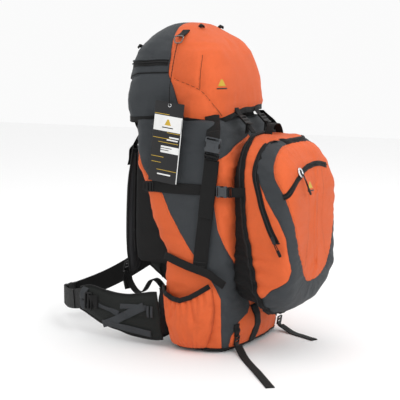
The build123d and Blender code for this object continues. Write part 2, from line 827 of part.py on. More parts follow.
# ================= the hip belt =================
def make_belt():
    buckle_front = belt_reach + belt_buckle_thick / 2
    mouth = Plane(origin=(belt_buckle_x, buckle_front, belt_buckle_z), x_dir=(0, 0, 1), z_dir=(0, -1, 0))
    keep("belt_buckle_female", buckle_female(mouth, belt_web, belt_buckle_length, belt_buckle_thick))
    keep("belt_buckle_male", buckle_male(mouth, belt_web, belt_buckle_length, belt_buckle_thick))
    for side, sign in SIDES:
        lift = right_wing_lift if sign > 0 else 0.0
        with BuildPart() as wing:
            raised = [(y, z + lift * (y - wing_root) / (wing_tip - wing_root)) for y, z in wing_outline]
            side_sheet(raised, sign * wing_inner, sign * (wing_inner + wing_thick))
        keep(f"belt_wing_{side}", wing)
        start = Vector(sign * (wing_inner + 4), wing_tip + 2, 0)
        reach = belt_buckle_length * (1.0 if sign < 0 else 0.4) + 2.5
        end = Vector(belt_buckle_x + sign * reach, belt_reach, 0)
        along = (end - start).normalized()
        plane = Plane(origin=start, x_dir=along, z_dir=along.cross(Vector(0, 0, 1)))
        with BuildPart() as webbing:
            with BuildSketch(plane):
                with BuildLine():
                    run, first = (end - start).length, wing_middle + lift
                    half = belt_web / 2 / cos(atan2(first - belt_buckle_z, run))
                    low = [(0, first - half), (run, belt_buckle_z - half)]
                    high = [(run, belt_buckle_z + half), (0, first + half)]
                    Polyline(*low, *high, close=True)
                make_face()
            extrude(amount=web)
        keep(f"belt_webbing_{side}", webbing)


def main():
    os.makedirs("parts", exist_ok=True)
    make_bag()
    make_pockets()
    make_frame()
    locks = make_harness()
    make_haul_loop()
    make_sternum()
    make_side_straps()
    make_base_straps(locks)
    make_lid()
    make_rings()
    make_tag()
    make_lid_slider()
    make_daypack()
    make_daypack_sliders()
    make_belt()


main()
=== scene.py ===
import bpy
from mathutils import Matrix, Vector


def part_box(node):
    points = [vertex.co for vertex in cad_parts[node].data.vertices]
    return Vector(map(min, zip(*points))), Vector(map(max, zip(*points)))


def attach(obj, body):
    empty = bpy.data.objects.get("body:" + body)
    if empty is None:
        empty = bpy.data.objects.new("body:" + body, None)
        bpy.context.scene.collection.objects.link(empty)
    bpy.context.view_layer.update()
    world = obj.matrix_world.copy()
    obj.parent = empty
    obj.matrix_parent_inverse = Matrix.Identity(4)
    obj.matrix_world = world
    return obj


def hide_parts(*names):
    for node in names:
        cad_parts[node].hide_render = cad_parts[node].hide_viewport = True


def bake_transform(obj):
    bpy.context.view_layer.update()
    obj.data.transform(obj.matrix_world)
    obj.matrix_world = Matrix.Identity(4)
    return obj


bl_info = {
    "name": "Hiking backpack",
    "version": (1, 0, 0),
    "blender": (4, 5, 0),
    "location": "View3D > Sidebar > Backpack",
    "description": "Dresses the packed frame of a hiking backpack with its fabric, padding, webbing and hardware",
    "category": "Object",
}

import math

import bmesh
import bpy
import numpy as np
from bpy.props import FloatProperty, FloatVectorProperty, IntProperty, PointerProperty
from mathutils import Matrix, Vector, noise
from mathutils.bvhtree import BVHTree

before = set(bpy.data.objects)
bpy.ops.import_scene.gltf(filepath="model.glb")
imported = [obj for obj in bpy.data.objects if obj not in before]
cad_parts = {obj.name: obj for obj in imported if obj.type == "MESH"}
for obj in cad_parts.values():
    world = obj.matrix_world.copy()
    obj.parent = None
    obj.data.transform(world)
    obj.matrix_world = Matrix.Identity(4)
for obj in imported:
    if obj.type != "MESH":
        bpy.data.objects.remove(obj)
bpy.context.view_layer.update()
MM = 0.001


# ---------------------------------------------------------------- settings
def colour_property(name, description, default):
    return FloatVectorProperty(
        name=name, description=description, subtype="COLOR", size=3, min=0.0, max=1.0, default=default
    )


def size_property(name, description, default):
    return FloatProperty(name=name, description=description, unit="LENGTH", default=default, min=0.0)


class BackpackColours(bpy.types.PropertyGroup):
    orange: colour_property("Orange nylon", "Main cloth of bag, lid and daypack", (0.72, 0.125, 0.033))
    slate: colour_property("Slate nylon", "Dark panels of bag, lid and daypack", (0.040, 0.045, 0.050))
    black: colour_property("Black webbing", "Straps, bindings and zip tapes", (0.0045, 0.0045, 0.0047))
    buckle: colour_property("Buckle grey", "Moulded side release buckles", (0.055, 0.06, 0.066))
    # The padding colour fills the cells of the spacer mesh: painted shade in its holes, darker than the knitted net.
    padding: colour_property("Padding mesh", "Spacer mesh on straps, back and lumbar pad", (0.005, 0.005, 0.0055))
    belt: colour_property("Belt cloth", "Outer cloth of the hip belt wings", (0.0075, 0.009, 0.0082))
    trim: colour_property("Belt trim", "Grey straps and end trim of the hip belt", (0.036, 0.039, 0.043))
    gold: colour_property("Print yellow", "Printed mark and tag lines", (0.55, 0.36, 0.035))


class BackpackSizes(bpy.types.PropertyGroup):
    cloth: size_property("Cloth thickness", "Thickness of the coated nylon", 0.0008)
    webbing: size_property("Webbing thickness", "Thickness of the flat straps", 0.0016)
    binding: size_property("Binding width", "Width of the bound edges", 0.012)
    wrinkle: size_property("Wrinkle height", "Height of the loose folds in the cloth", 0.0036)
    fold_seed: IntProperty(name="Fold seed", description="Which set of folds the cloth shows", default=3)


def colour(name):
    return (*getattr(bpy.context.scene.backpack_colours, name), 1.0)


def size(name):
    return getattr(bpy.context.scene.backpack_sizes, name) / MM


# ---------------------------------------------------------------- curves and small maths
def smooth_line(points, step=4.0, closed=False):
    """A smooth line through the points, with a point about every step."""
    p = np.array(points, float)
    n = len(p)
    if n < 3 and not closed:
        count = max(int(np.linalg.norm(p[-1] - p[0]) / step), 2)
        return np.array([p[0] + (p[-1] - p[0]) * t for t in np.linspace(0, 1, count + 1)])
    ends = (p[-1:], p[:1], p[1:2]) if closed else (2 * p[:1] - p[1:2], 2 * p[-1:] - p[-2:-1], p[:0])
    q = np.vstack([ends[0], p, ends[1], ends[2]])
    line = []
    for i in range(n if closed else n - 1):
        a, b, c, d = q[i], q[i + 1], q[i + 2], q[i + 3]
        count = max(int(round(np.linalg.norm(c - b) / step)), 1)
        for t in np.arange(count) / count:
            line.append(
                0.5 * (2 * b + (c - a) * t + (2 * a - 5 * b + 4 * c - d) * t**2 + (3 * b - a - 3 * c + d) * t**3)
            )
    if not closed:
        line.append(p[-1])
    return np.array(line)


def unit(v):
    v = np.asarray(v, float)
    return v / np.maximum(np.linalg.norm(v, axis=-1, keepdims=True), 1e-9)


def tangents(line, closed=False):
    if closed:
        return unit(np.roll(line, -1, 0) - np.roll(line, 1, 0))
    return unit(np.gradient(line, axis=0))


def spread(count):
    """Positions from 0 to 1 that crowd towards both ends, where seams are."""
    t = np.linspace(0, 1, count + 1)
    return 0.45 * t + 0.55 * (0.5 - 0.5 * np.cos(np.pi * t))


def table(rows, at):
    """Looks up each column of a table of rows against its first column."""
    rows = np.array(rows, float)
    return [np.interp(at, rows[:, 0], rows[:, k]) for k in range(1, rows.shape[1])]


def near_line(points, line):
    """Distance from each 2D point to a polyline."""
    points = np.asarray(points, float)
    best = np.full(points.shape[:-1], 1e9)
    for a, b in zip(np.asarray(line[:-1], float), np.asarray(line[1:], float)):
        ab = b - a
        t = np.clip(((points - a) @ ab) / max(ab @ ab, 1e-9), 0, 1)
        best = np.minimum(best, np.linalg.norm(points - (a + t[..., None] * ab), axis=-1))
    return best


def noise_at(points, scale, seed=0.0):
    """Smooth noise between about -1 and 1; scale is the fold size along x, y, z."""
    flat = np.asarray(points, float).reshape(-1, 3) / np.asarray(scale, float)
    value = [noise.noise(Vector(p) + Vector((seed, seed * 1.7, -seed))) for p in flat]
    return np.array(value).reshape(np.asarray(points).shape[:-1])


def rounded_plan(u, half, front, rear, rear_r, front_r):
    """A point on the near half of a rounded rectangular plan, u from the middle of the rear."""
    s0 = half - rear_r
    s1 = s0 + math.pi * rear_r / 2
    s2 = s1 + rear - front - rear_r - front_r
    s3 = s2 + math.pi * front_r / 2
    if u < s0:
        return -u, rear
    if u < s1:
        t = (u - s0) / rear_r
        return -s0 - rear_r * math.sin(t), rear - rear_r + rear_r * math.cos(t)
    if u < s2:
        return -half, rear - rear_r - (u - s1)
    if u < s3:
        t = (u - s2) / front_r
        return -(half - front_r) - front_r * math.cos(t), front + front_r - front_r * math.sin(t)
    return -(half - front_r) + (u - s3), front


def plan_lengths(half, front, rear, rear_r, front_r):
    """Where the rear corner ends and where the middle of the front is, along the near half of the plan."""
    corner = half - rear_r + math.pi * rear_r / 2
    return corner, corner + rear - front - rear_r - front_r + math.pi * front_r / 2 + half - front_r


# ---------------------------------------------------------------- meshes
def as_object(name, mesh, materials, body):
    obj = bpy.data.objects.new(name, mesh)
    bpy.context.scene.collection.objects.link(obj)
    for material in materials:
        mesh.materials.append(material)
    if body:
        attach(obj, body)
    return obj


def raw_mesh(name, verts, faces, uvs=None, marks=None, smooth=True):
    """A mesh from millimetres; uvs are one pair per face corner in metres, marks a material index per face."""
    mesh = bpy.data.meshes.new(name)
    mesh.from_pydata((np.asarray(verts, float) * MM).tolist(), [], [list(f) for f in faces])
    if uvs is not None:
        layer = mesh.uv_layers.new(name="run")
        layer.data.foreach_set("uv", np.asarray(uvs, float).ravel())
    if marks is not None:
        mesh.polygons.foreach_set("material_index", np.asarray(marks, np.int32))
    mesh.polygons.foreach_set("use_smooth", [smooth] * len(mesh.polygons))
    mesh.update()
    return mesh


def clean(mesh, distance=0.00002):
    bm = bmesh.new()
    bm.from_mesh(mesh)
    bmesh.ops.remove_doubles(bm, verts=bm.verts, dist=distance)
    bmesh.ops.dissolve_degenerate(bm, dist=distance, edges=bm.edges)
    bmesh.ops.recalc_face_normals(bm, faces=bm.faces)
    bm.to_mesh(mesh)
    bm.free()
    mesh.update()
    return mesh


def grid_mesh(name, points, marks=None, closed=False, runs=None):
    """A mesh over rows and columns of points; closed joins the last column to the first."""
    rows, cols = points.shape[:2]
    wrap = cols if closed else cols - 1
    if runs is None:
        across = np.linalg.norm(np.diff(points, axis=1, append=points[:, :1]), axis=2).cumsum(1)
        down = np.linalg.norm(np.diff(points, axis=0, prepend=points[:1]), axis=2).cumsum(0)
        across = np.hstack([np.zeros((rows, 1)), across])
        down = np.hstack([down, down[:, :1]])
        runs = np.stack([across * MM, down * MM], -1)
    faces, uvs, indices = [], [], []
    for r in range(rows - 1):
        for c in range(wrap):
            d = (c + 1) % cols
            faces.append((r * cols + c, r * cols + d, (r + 1) * cols + d, (r + 1) * cols + c))
            uvs += [runs[r, c], runs[r, c + 1], runs[r + 1, c + 1], runs[r + 1, c]]
            indices.append(0 if marks is None else marks[r, c])
    return clean(raw_mesh(name, points.reshape(-1, 3), faces, uvs, indices))


def grid_normals(points, closed=False):
    if closed:
        padded = np.concatenate([points[:, -1:], points, points[:, :1]], 1)
        du = (padded[:, 2:] - padded[:, :-2])
    else:
        du = np.gradient(points, axis=1)
    dv = np.gradient(points, axis=0)
    return unit(np.cross(du, dv))


def tube_mesh(name, line, radius, closed=False, sides=8, flat=1.0, up=(0, 0, 1)):
    """A round or flattened tube along a line."""
    line = np.asarray(line, float)
    t = tangents(line, closed)
    side = unit(np.cross(t, np.asarray(up, float)))
    over = unit(np.cross(side, t))
    radii = np.broadcast_to(np.asarray(radius, float), (len(line),))
    rings = []
    for k in range(sides):
        a = 2 * math.pi * k / sides
        rings.append(line + (side * math.cos(a) + over * math.sin(a) * flat) * radii[:, None])
    points = np.stack(rings, 1)
    if closed:
        points = np.concatenate([points, points[:1]], 0)
    else:
        points = np.concatenate([line[:1, None].repeat(sides, 1), points, line[-1:, None].repeat(sides, 1)], 0)
    return grid_mesh(name, points, closed=True)


def strap_mesh(name, line, normals, width, thick, edge=0.35):
    """A flat woven strap: a rounded strip along a line, facing along the normals."""
    line = np.asarray(line, float)
    t = tangents(line)
    normals = np.broadcast_to(np.asarray(normals, float), line.shape)
    across = unit(np.cross(t, normals))
    normals = unit(np.cross(across, t))
    widths = np.broadcast_to(np.asarray(width, float), (len(line),))[:, None] / 2
    half = thick / 2
    section = [(-1, -edge), (-1 + 0.04, -1), (-0.5, -1.06), (0.5, -1.06), (1 - 0.04, -1), (1, -edge),
               (1, edge), (1 - 0.04, 1), (0.5, 1.06), (-0.5, 1.06), (-1 + 0.04, 1), (-1, edge)]
    rings = [line + across * widths * a + normals * half * b for a, b in section]
    points = np.stack(rings, 1)
    run = np.r_[0, np.linalg.norm(np.diff(line, axis=0), axis=1).cumsum()] * MM
    over = np.array([a for a, b in section] + [section[0][0]]) * float(widths.max()) * MM
    runs = np.stack(np.broadcast_arrays(run[:, None], over[None, :]), -1)
    points = np.concatenate([line[:1, None].repeat(12, 1), points, line[-1:, None].repeat(12, 1)], 0)
    runs = np.concatenate([runs[:1], runs, runs[-1:]], 0)
    return grid_mesh(name, points, closed=True, runs=runs)


def plate_mesh(name, loops, thick, bevel=0.4, steps=2):
    """A moulded plate from an outline and its holes in its own x, y, with rounded edges."""
    data = bpy.data.curves.new(name, "CURVE")
    data.dimensions = "2D"
    data.fill_mode = "BOTH"
    data.extrude = max(thick / 2 - bevel, 0.01) * MM
    data.bevel_depth = bevel * MM
    data.bevel_resolution = steps
    data.offset = -bevel * MM
    for loop in loops:
        spline = data.splines.new("POLY")
        spline.points.add(len(loop) - 1)
        for point, (x, y) in zip(spline.points, loop):
            point.co = (x * MM, y * MM, 0, 1)
        spline.use_cyclic_u = True
    obj = bpy.data.objects.new(name, data)
    mesh = bpy.data.meshes.new_from_object(obj)
    bpy.data.objects.remove(obj)
    bpy.data.curves.remove(data)
    mesh.polygons.foreach_set("use_smooth", [True] * len(mesh.polygons))
    mesh.uv_layers.new(name="run")
    return clean(mesh, 0.000001)


def place(x_axis, y_axis, origin):
    """A placing matrix: a plate's own x and y go along these directions, from the origin in millimetres."""
    x = Vector(x_axis).normalized()
    z = x.cross(Vector(y_axis)).normalized()
    y = z.cross(x)
    matrix = Matrix((x, y, z)).transposed().to_4x4()
    matrix.translation = Vector(origin) * MM
    return matrix


def joined(name, parts):
    """One mesh from several, each (mesh, matrix or None, material index)."""
    bm = bmesh.new()
    for mesh, matrix, mark in parts:
        if matrix is not None:
            mesh.transform(matrix)
        mesh.polygons.foreach_set("material_index", [mark] * len(mesh.polygons))
        bm.from_mesh(mesh)
        bpy.data.meshes.remove(mesh)
    result = bpy.data.meshes.new(name)
    bm.to_mesh(result)
    bm.free()
    result.update()
    return result


def rounded_loop(width, height, radius, steps=5, centre=(0, 0)):
    """A rounded rectangle as a loop of points."""
    loop = []
    for k, (sx, sy) in enumerate([(1, 1), (-1, 1), (-1, -1), (1, -1)]):
        cx, cy = sx * (width / 2 - radius), sy * (height / 2 - radius)
        for i in range(steps + 1):
            a = math.pi / 2 * (k + i / steps)
            loop.append((centre[0] + cx + radius * math.cos(a), centre[1] + cy + radius * math.sin(a)))
    return loop


def circle_loop(radius, steps=24, centre=(0, 0)):
    return [(centre[0] + radius * math.cos(2 * math.pi * k / steps),
             centre[1] + radius * math.sin(2 * math.pi * k / steps)) for k in range(steps)]


def rounded_bar(length, width, height, radius, steps=3):
    """A block with every edge rounded, its middle at the origin, in metres."""
    bm = bmesh.new()
    bmesh.ops.create_cube(bm, size=1.0)
    bmesh.ops.scale(bm, vec=(length * MM, width * MM, height * MM), verts=bm.verts)
    bmesh.ops.bevel(bm, geom=bm.edges[:], offset=radius * MM, segments=steps, profile=0.5, affect="EDGES")
    mesh = bpy.data.meshes.new("bar")
    bm.to_mesh(mesh)
    bm.free()
    mesh.uv_layers.new(name="run")
    mesh.polygons.foreach_set("use_smooth", [True] * len(mesh.polygons))
    return mesh


def stitches(name, line, normals, pitch=3.6, long=2.5, thick=0.5, lift=0.25):
    """A row of lockstitches along a line on a surface."""
    line = np.asarray(line, float)
    normals = np.broadcast_to(np.asarray(normals, float), line.shape)
    run = np.r_[0, np.linalg.norm(np.diff(line, axis=0), axis=1).cumsum()]
    verts, faces = [], []
    for start in np.arange(pitch / 2, run[-1] - pitch / 2, pitch):
        centre = np.array([np.interp(start, run, line[:, k]) for k in range(3)])
        ahead = np.array([np.interp(start + 0.5, run, line[:, k]) for k in range(3)])
        n = unit([np.interp(start, run, normals[:, k]) for k in range(3)])
        t = unit(ahead - centre)
        s = unit(np.cross(t, n))
        c = centre + n * lift
        base = len(verts)
        verts += [c - t * long / 2 - n * lift, c + s * thick / 2, c + n * thick * 0.5, c - s * thick / 2,
                  c + t * long / 2 - n * lift]
        faces += [(base, base + 1, base + 2), (base, base + 2, base + 3), (base + 4, base + 2, base + 1),
                  (base + 4, base + 3, base + 2)]
    return raw_mesh(name, verts, faces, uvs=np.zeros((len(faces) * 3, 2)))


# ---------------------------------------------------------------- finishes
class Graph:
    """Short hand for wiring shader nodes."""

    def __init__(self, tree):
        self.tree = tree

    def node(self, kind, inputs=None, **settings):
        made = self.tree.nodes.new(kind)
        for key, value in settings.items():
            setattr(made, key, value)
        for key, value in (inputs or {}).items():
            if isinstance(value, bpy.types.NodeSocket):
                self.tree.links.new(value, made.inputs[key])
            else:
                made.inputs[key].default_value = value
        return made

    def maths(self, operation, a, b=0.0, c=0.0):
        return self.node("ShaderNodeMath", {0: a, 1: b, 2: c}, operation=operation).outputs[0]

    def tint(self, colour_a, factor, colour_b):
        made = self.node("ShaderNodeMix", data_type="RGBA")
        for key, value in ((0, factor), (6, colour_a), (7, colour_b)):
            if isinstance(value, bpy.types.NodeSocket):
                self.tree.links.new(value, made.inputs[key])
            else:
                made.inputs[key].default_value = value
        return made.outputs[2]


def new_group(name, inputs, outputs):
    tree = bpy.data.node_groups.new(name, "ShaderNodeTree")
    for label, default in inputs:
        tree.interface.new_socket(label, in_out="INPUT", socket_type="NodeSocketFloat").default_value = default
    for label in outputs:
        tree.interface.new_socket(label, in_out="OUTPUT", socket_type="NodeSocketFloat")
    graph = Graph(tree)
    return graph, graph.node("NodeGroupInput").outputs, graph.node("NodeGroupOutput").inputs


def woven_group():
    """Plain weave seen the same on every side, with creases and slow shade changes."""
    g, given, out = new_group(
        "woven_cloth", [("Pitch", 0.0011), ("Weave", 0.1), ("Crease", 1.0), ("Shade range", 0.12)], ["Height", "Shade"]
    )
    place_at = g.node("ShaderNodeTexCoord")
    rate = g.maths("DIVIDE", 2 * math.pi, given["Pitch"])
    axes = g.node("ShaderNodeSeparateXYZ", {0: place_at.outputs["Object"]}).outputs
    waves = [g.maths("SINE", g.maths("MULTIPLY", axis, rate)) for axis in axes]
    facing = g.node("ShaderNodeSeparateXYZ", {0: place_at.outputs["Normal"]}).outputs
    shares = [g.maths("POWER", g.maths("ABSOLUTE", axis), 3.0) for axis in facing]
    weave = 0.0
    for k in range(3):
        pair = g.maths("MULTIPLY", waves[(k + 1) % 3], waves[(k + 2) % 3])
        weave = g.maths("MULTIPLY_ADD", pair, shares[k], weave)
    crease = g.node(
        "ShaderNodeTexNoise",
        {"Vector": place_at.outputs["Object"], "Scale": 26.0, "Detail": 3.0, "Roughness": 0.5, "Distortion": 0.6},
    ).outputs["Fac"]
    fine = g.node(
        "ShaderNodeTexNoise", {"Vector": place_at.outputs["Object"], "Scale": 130.0, "Detail": 2.0}
    ).outputs["Fac"]
    patch = g.node(
        "ShaderNodeTexNoise", {"Vector": place_at.outputs["Object"], "Scale": 9.0, "Detail": 4.0}
    ).outputs["Fac"]
    folds = g.maths("MULTIPLY", g.maths("MULTIPLY_ADD", fine, 0.22, crease), given["Crease"])
    g.tree.links.new(g.maths("MULTIPLY_ADD", weave, given["Weave"], folds), out["Height"])
    speck = g.maths("MULTIPLY_ADD", weave, 0.25, g.maths("MULTIPLY_ADD", fine, 0.5, patch))
    shade = g.maths("MULTIPLY_ADD", g.maths("SUBTRACT", speck, 0.75), given["Shade range"], 1.0)
    g.tree.links.new(shade, out["Shade"])
    return g.tree


def ribbed_group():
    """Ribs across a strap and lines along it, from the strap's own length and width."""
    g, given, out = new_group("ribbed_webbing", [("Rib", 0.0017), ("Shade range", 0.35)], ["Height", "Shade"])
    run = g.node("ShaderNodeUVMap", uv_map="run").outputs["UV"]
    axes = g.node("ShaderNodeSeparateXYZ", {0: run}).outputs
    rib = g.maths("SINE", g.maths("MULTIPLY", axes[0], g.maths("DIVIDE", 2 * math.pi, given["Rib"])))
    line = g.maths("SINE", g.maths("MULTIPLY", axes[1], 2 * math.pi / 0.0031))
    fuzz = g.node("ShaderNodeTexNoise", {"Vector": run, "Scale": 420.0, "Detail": 2.0}).outputs["Fac"]
    wide = g.node("ShaderNodeTexNoise", {"Vector": run, "Scale": 30.0, "Detail": 2.0}).outputs["Fac"]
    height = g.maths("MULTIPLY_ADD", line, 0.35, g.maths("MULTIPLY_ADD", fuzz, 0.8, rib))
    g.tree.links.new(height, out["Height"])
    speck = g.maths("MULTIPLY_ADD", rib, 0.3, g.maths("MULTIPLY_ADD", wide, 1.2, fuzz))
    shade = g.maths("MULTIPLY_ADD", g.maths("SUBTRACT", speck, 1.0), given["Shade range"], 1.0)
    g.tree.links.new(shade, out["Shade"])
    return g.tree


def spacer_group():
    """Open knitted mesh over foam: small round cells with a raised net between them; the colour darkens the cells as
    painted shade in the holes.
    """
    g, given, out = new_group("spacer_mesh", [("Cells", 300.0), ("Depth", 1.0)], ["Height", "Net and hole shade"])
    at = g.node("ShaderNodeTexCoord").outputs["Object"]
    cell = g.node("ShaderNodeTexVoronoi", {"Vector": at, "Scale": given["Cells"], "Randomness": 0.35})
    net = g.maths("SMOOTH_MIN", g.maths("MULTIPLY", cell.outputs["Distance"], 2.2), 1.0, 0.2)
    wide = g.node("ShaderNodeTexNoise", {"Vector": at, "Scale": 22.0, "Detail": 3.0}).outputs["Fac"]
    g.tree.links.new(g.maths("MULTIPLY_ADD", net, given["Depth"], wide), out["Height"])
    # The second output is the mix factor towards the lighter net colour: the dark cells are painted shade in the mesh's
    # holes, with slow random tone over them.
    g.tree.links.new(g.maths("MULTIPLY_ADD", wide, 0.5, net), out["Net and hole shade"])
    return g.tree


def dust_group():
    """Thin dust and rubbing on faces that look up, broken into patches."""
    g, given, out = new_group("settled_dust", [("Amount", 0.2)], ["Mask"])
    at = g.node("ShaderNodeTexCoord")
    up = g.node("ShaderNodeSeparateXYZ", {0: at.outputs["Normal"]}).outputs[2]
    patch = g.node("ShaderNodeTexNoise", {"Vector": at.outputs["Object"], "Scale": 34.0, "Detail": 5.0}).outputs["Fac"]
    raised = g.maths("MULTIPLY_ADD", up, 0.35, 0.45)
    mask = g.maths("MULTIPLY", g.maths("MULTIPLY", raised, patch), given["Amount"])
    g.tree.links.new(g.node("ShaderNodeClamp", {0: mask}).outputs[0], out["Mask"])
    return g.tree


def grain_group():
    """Fine moulded or cast grain with slow changes in gloss."""
    g, given, out = new_group("moulded_grain", [("Grain", 900.0), ("Streak", 0.0)], ["Height", "Gloss"])
    at = g.node("ShaderNodeTexCoord").outputs["Object"]
    grain = g.node("ShaderNodeTexNoise", {"Vector": at, "Scale": given["Grain"], "Detail": 2.0}).outputs["Fac"]
    wide = g.node("ShaderNodeTexNoise", {"Vector": at, "Scale": 60.0, "Detail": 3.0}).outputs["Fac"]
    stretched = g.node("ShaderNodeVectorMath", {0: at, 1: (60.0, 900.0, 2500.0)}, operation="MULTIPLY").outputs[0]
    streak = g.node("ShaderNodeTexNoise", {"Vector": stretched, "Scale": 1.0, "Detail": 2.0}).outputs["Fac"]
    g.tree.links.new(g.maths("MULTIPLY_ADD", streak, given["Streak"], grain), out["Height"])
    g.tree.links.new(g.maths("MULTIPLY_ADD", streak, given["Streak"], wide), out["Gloss"])
    return g.tree


GROUPS, FINISHES = {}, {}


def group_node(graph, name, values):
    makers = {"woven_cloth": woven_group, "ribbed_webbing": ribbed_group, "spacer_mesh": spacer_group,
              "settled_dust": dust_group, "moulded_grain": grain_group}
    if name not in GROUPS:
        GROUPS[name] = makers[name]()
    return graph.node("ShaderNodeGroup", values, node_tree=GROUPS[name]).outputs


def new_finish(name, roughness, sheen=0.0, metallic=0.0, coat=0.0):
    material = bpy.data.materials.new(name)
    material.use_nodes = True
    material.node_tree.nodes.clear()
    g = Graph(material.node_tree)
    shader = g.node("ShaderNodeBsdfPrincipled", {"Roughness": roughness, "Metallic": metallic})
    shader.inputs["Sheen Weight"].default_value = sheen
    shader.inputs["Sheen Roughness"].default_value = 0.45
    shader.inputs["Specular IOR Level"].default_value = 0.5 if metallic else 0.22
    shader.inputs["Coat Weight"].default_value = coat
    g.tree.links.new(shader.outputs[0], g.node("ShaderNodeOutputMaterial").inputs[0])
    FINISHES[name] = material
    return g, shader, material


def bumped(graph, shader, height, strength, distance):
    bump = graph.node("ShaderNodeBump", {"Height": height, "Strength": strength, "Distance": distance})
    graph.tree.links.new(bump.outputs[0], shader.inputs["Normal"])


def shaded(graph, base, shade, dust=0.02):
    """The base colour scaled by a shade, with a little pale dust over it."""
    grey = graph.node("ShaderNodeCombineColor", {0: shade, 1: shade, 2: shade}).outputs[0]
    mixed = graph.node("ShaderNodeMix", data_type="RGBA", blend_type="MULTIPLY")
    mixed.inputs[0].default_value = 1.0
    mixed.inputs[6].default_value = base
    graph.tree.links.new(grey, mixed.inputs[7])
    mask = group_node(graph, "settled_dust", {"Amount": dust})["Mask"]
    return graph.tint(mixed.outputs[2], mask, (0.30, 0.28, 0.26, 1.0))


def cloth(name, base, roughness=0.6, sheen=0.03, crease=1.0, shade=0.22, pitch=0.0011, depth=0.0032, dust=0.03):
    if name in FINISHES:
        return FINISHES[name]
    g, shader, material = new_finish(name, roughness, sheen)
    weave = group_node(g, "woven_cloth", {"Pitch": pitch, "Crease": crease, "Shade range": shade})
    g.tree.links.new(shaded(g, base, weave["Shade"], dust), shader.inputs["Base Color"])
    bumped(g, shader, weave["Height"], 0.75, depth)
    return material


def webbing(name, base, roughness=0.7, rib=0.0017, dust=0.02):
    if name in FINISHES:
        return FINISHES[name]
    g, shader, material = new_finish(name, roughness, 0.03)
    ribs = group_node(g, "ribbed_webbing", {"Rib": rib})
    g.tree.links.new(shaded(g, base, ribs["Shade"], dust), shader.inputs["Base Color"])
    bumped(g, shader, ribs["Height"], 0.8, 0.0003)
    return material


def mesh_cloth(name, base, net, cells=300.0):
    if name in FINISHES:
        return FINISHES[name]
    g, shader, material = new_finish(name, 0.85, 0.03)
    knit = group_node(g, "spacer_mesh", {"Cells": cells})
    # base colours the cells as painted shade in the holes; net colours the knitted strands
    g.tree.links.new(g.tint(base, knit["Net and hole shade"], net), shader.inputs["Base Color"])
    bumped(g, shader, knit["Height"], 0.9, 0.0009)
    return material


def moulded(name, base, roughness=0.42, metallic=0.0, grain=900.0, streak=0.0, coat=0.0, dust=0.02):
    if name in FINISHES:
        return FINISHES[name]
    g, shader, material = new_finish(name, roughness, 0.0, metallic, coat)
    body = group_node(g, "moulded_grain", {"Grain": grain, "Streak": streak})
    shade = g.maths("MULTIPLY_ADD", body["Gloss"], 0.22, 0.89)
    g.tree.links.new(shaded(g, base, shade, dust), shader.inputs["Base Color"])
    rough = g.maths("MULTIPLY_ADD", g.maths("SUBTRACT", body["Gloss"], 0.5), 0.3, roughness)
    g.tree.links.new(rough, shader.inputs["Roughness"])
    bumped(g, shader, body["Height"], 0.5, 0.00012)
    return material


def printed(name, base, roughness=0.4):
    return moulded(name, base, roughness, grain=1600.0, coat=0.15, dust=0.03)


def orange_cloth():
    return cloth("orange_nylon", colour("orange"))


def slate_cloth():
    return cloth("slate_nylon", colour("slate"), roughness=0.58, shade=0.3)


def black_cloth():
    return cloth("black_nylon", colour("black"), roughness=0.66, shade=0.3, crease=0.6)


def black_webbing():
    return webbing("black_webbing", colour("black"))


def zip_tape():
    return webbing("black_zip_tape", colour("black"), roughness=0.6, rib=0.0012)


def black_plastic():
    return moulded("black_acetal", colour("black"), roughness=0.38)


def grey_plastic():
    return moulded("grey_acetal", colour("buckle"), roughness=0.4)


def zip_metal():
    return moulded("painted_zinc", (0.03, 0.03, 0.032, 1), roughness=0.32, metallic=0.7, streak=0.4)


def thread(name, base):
    return webbing(name, base, roughness=0.8, rib=0.0006)


# ---------------------------------------------------------------- operators
class BuildStep:
    """What every building operator shares."""

    bl_options = {"REGISTER", "UNDO"}


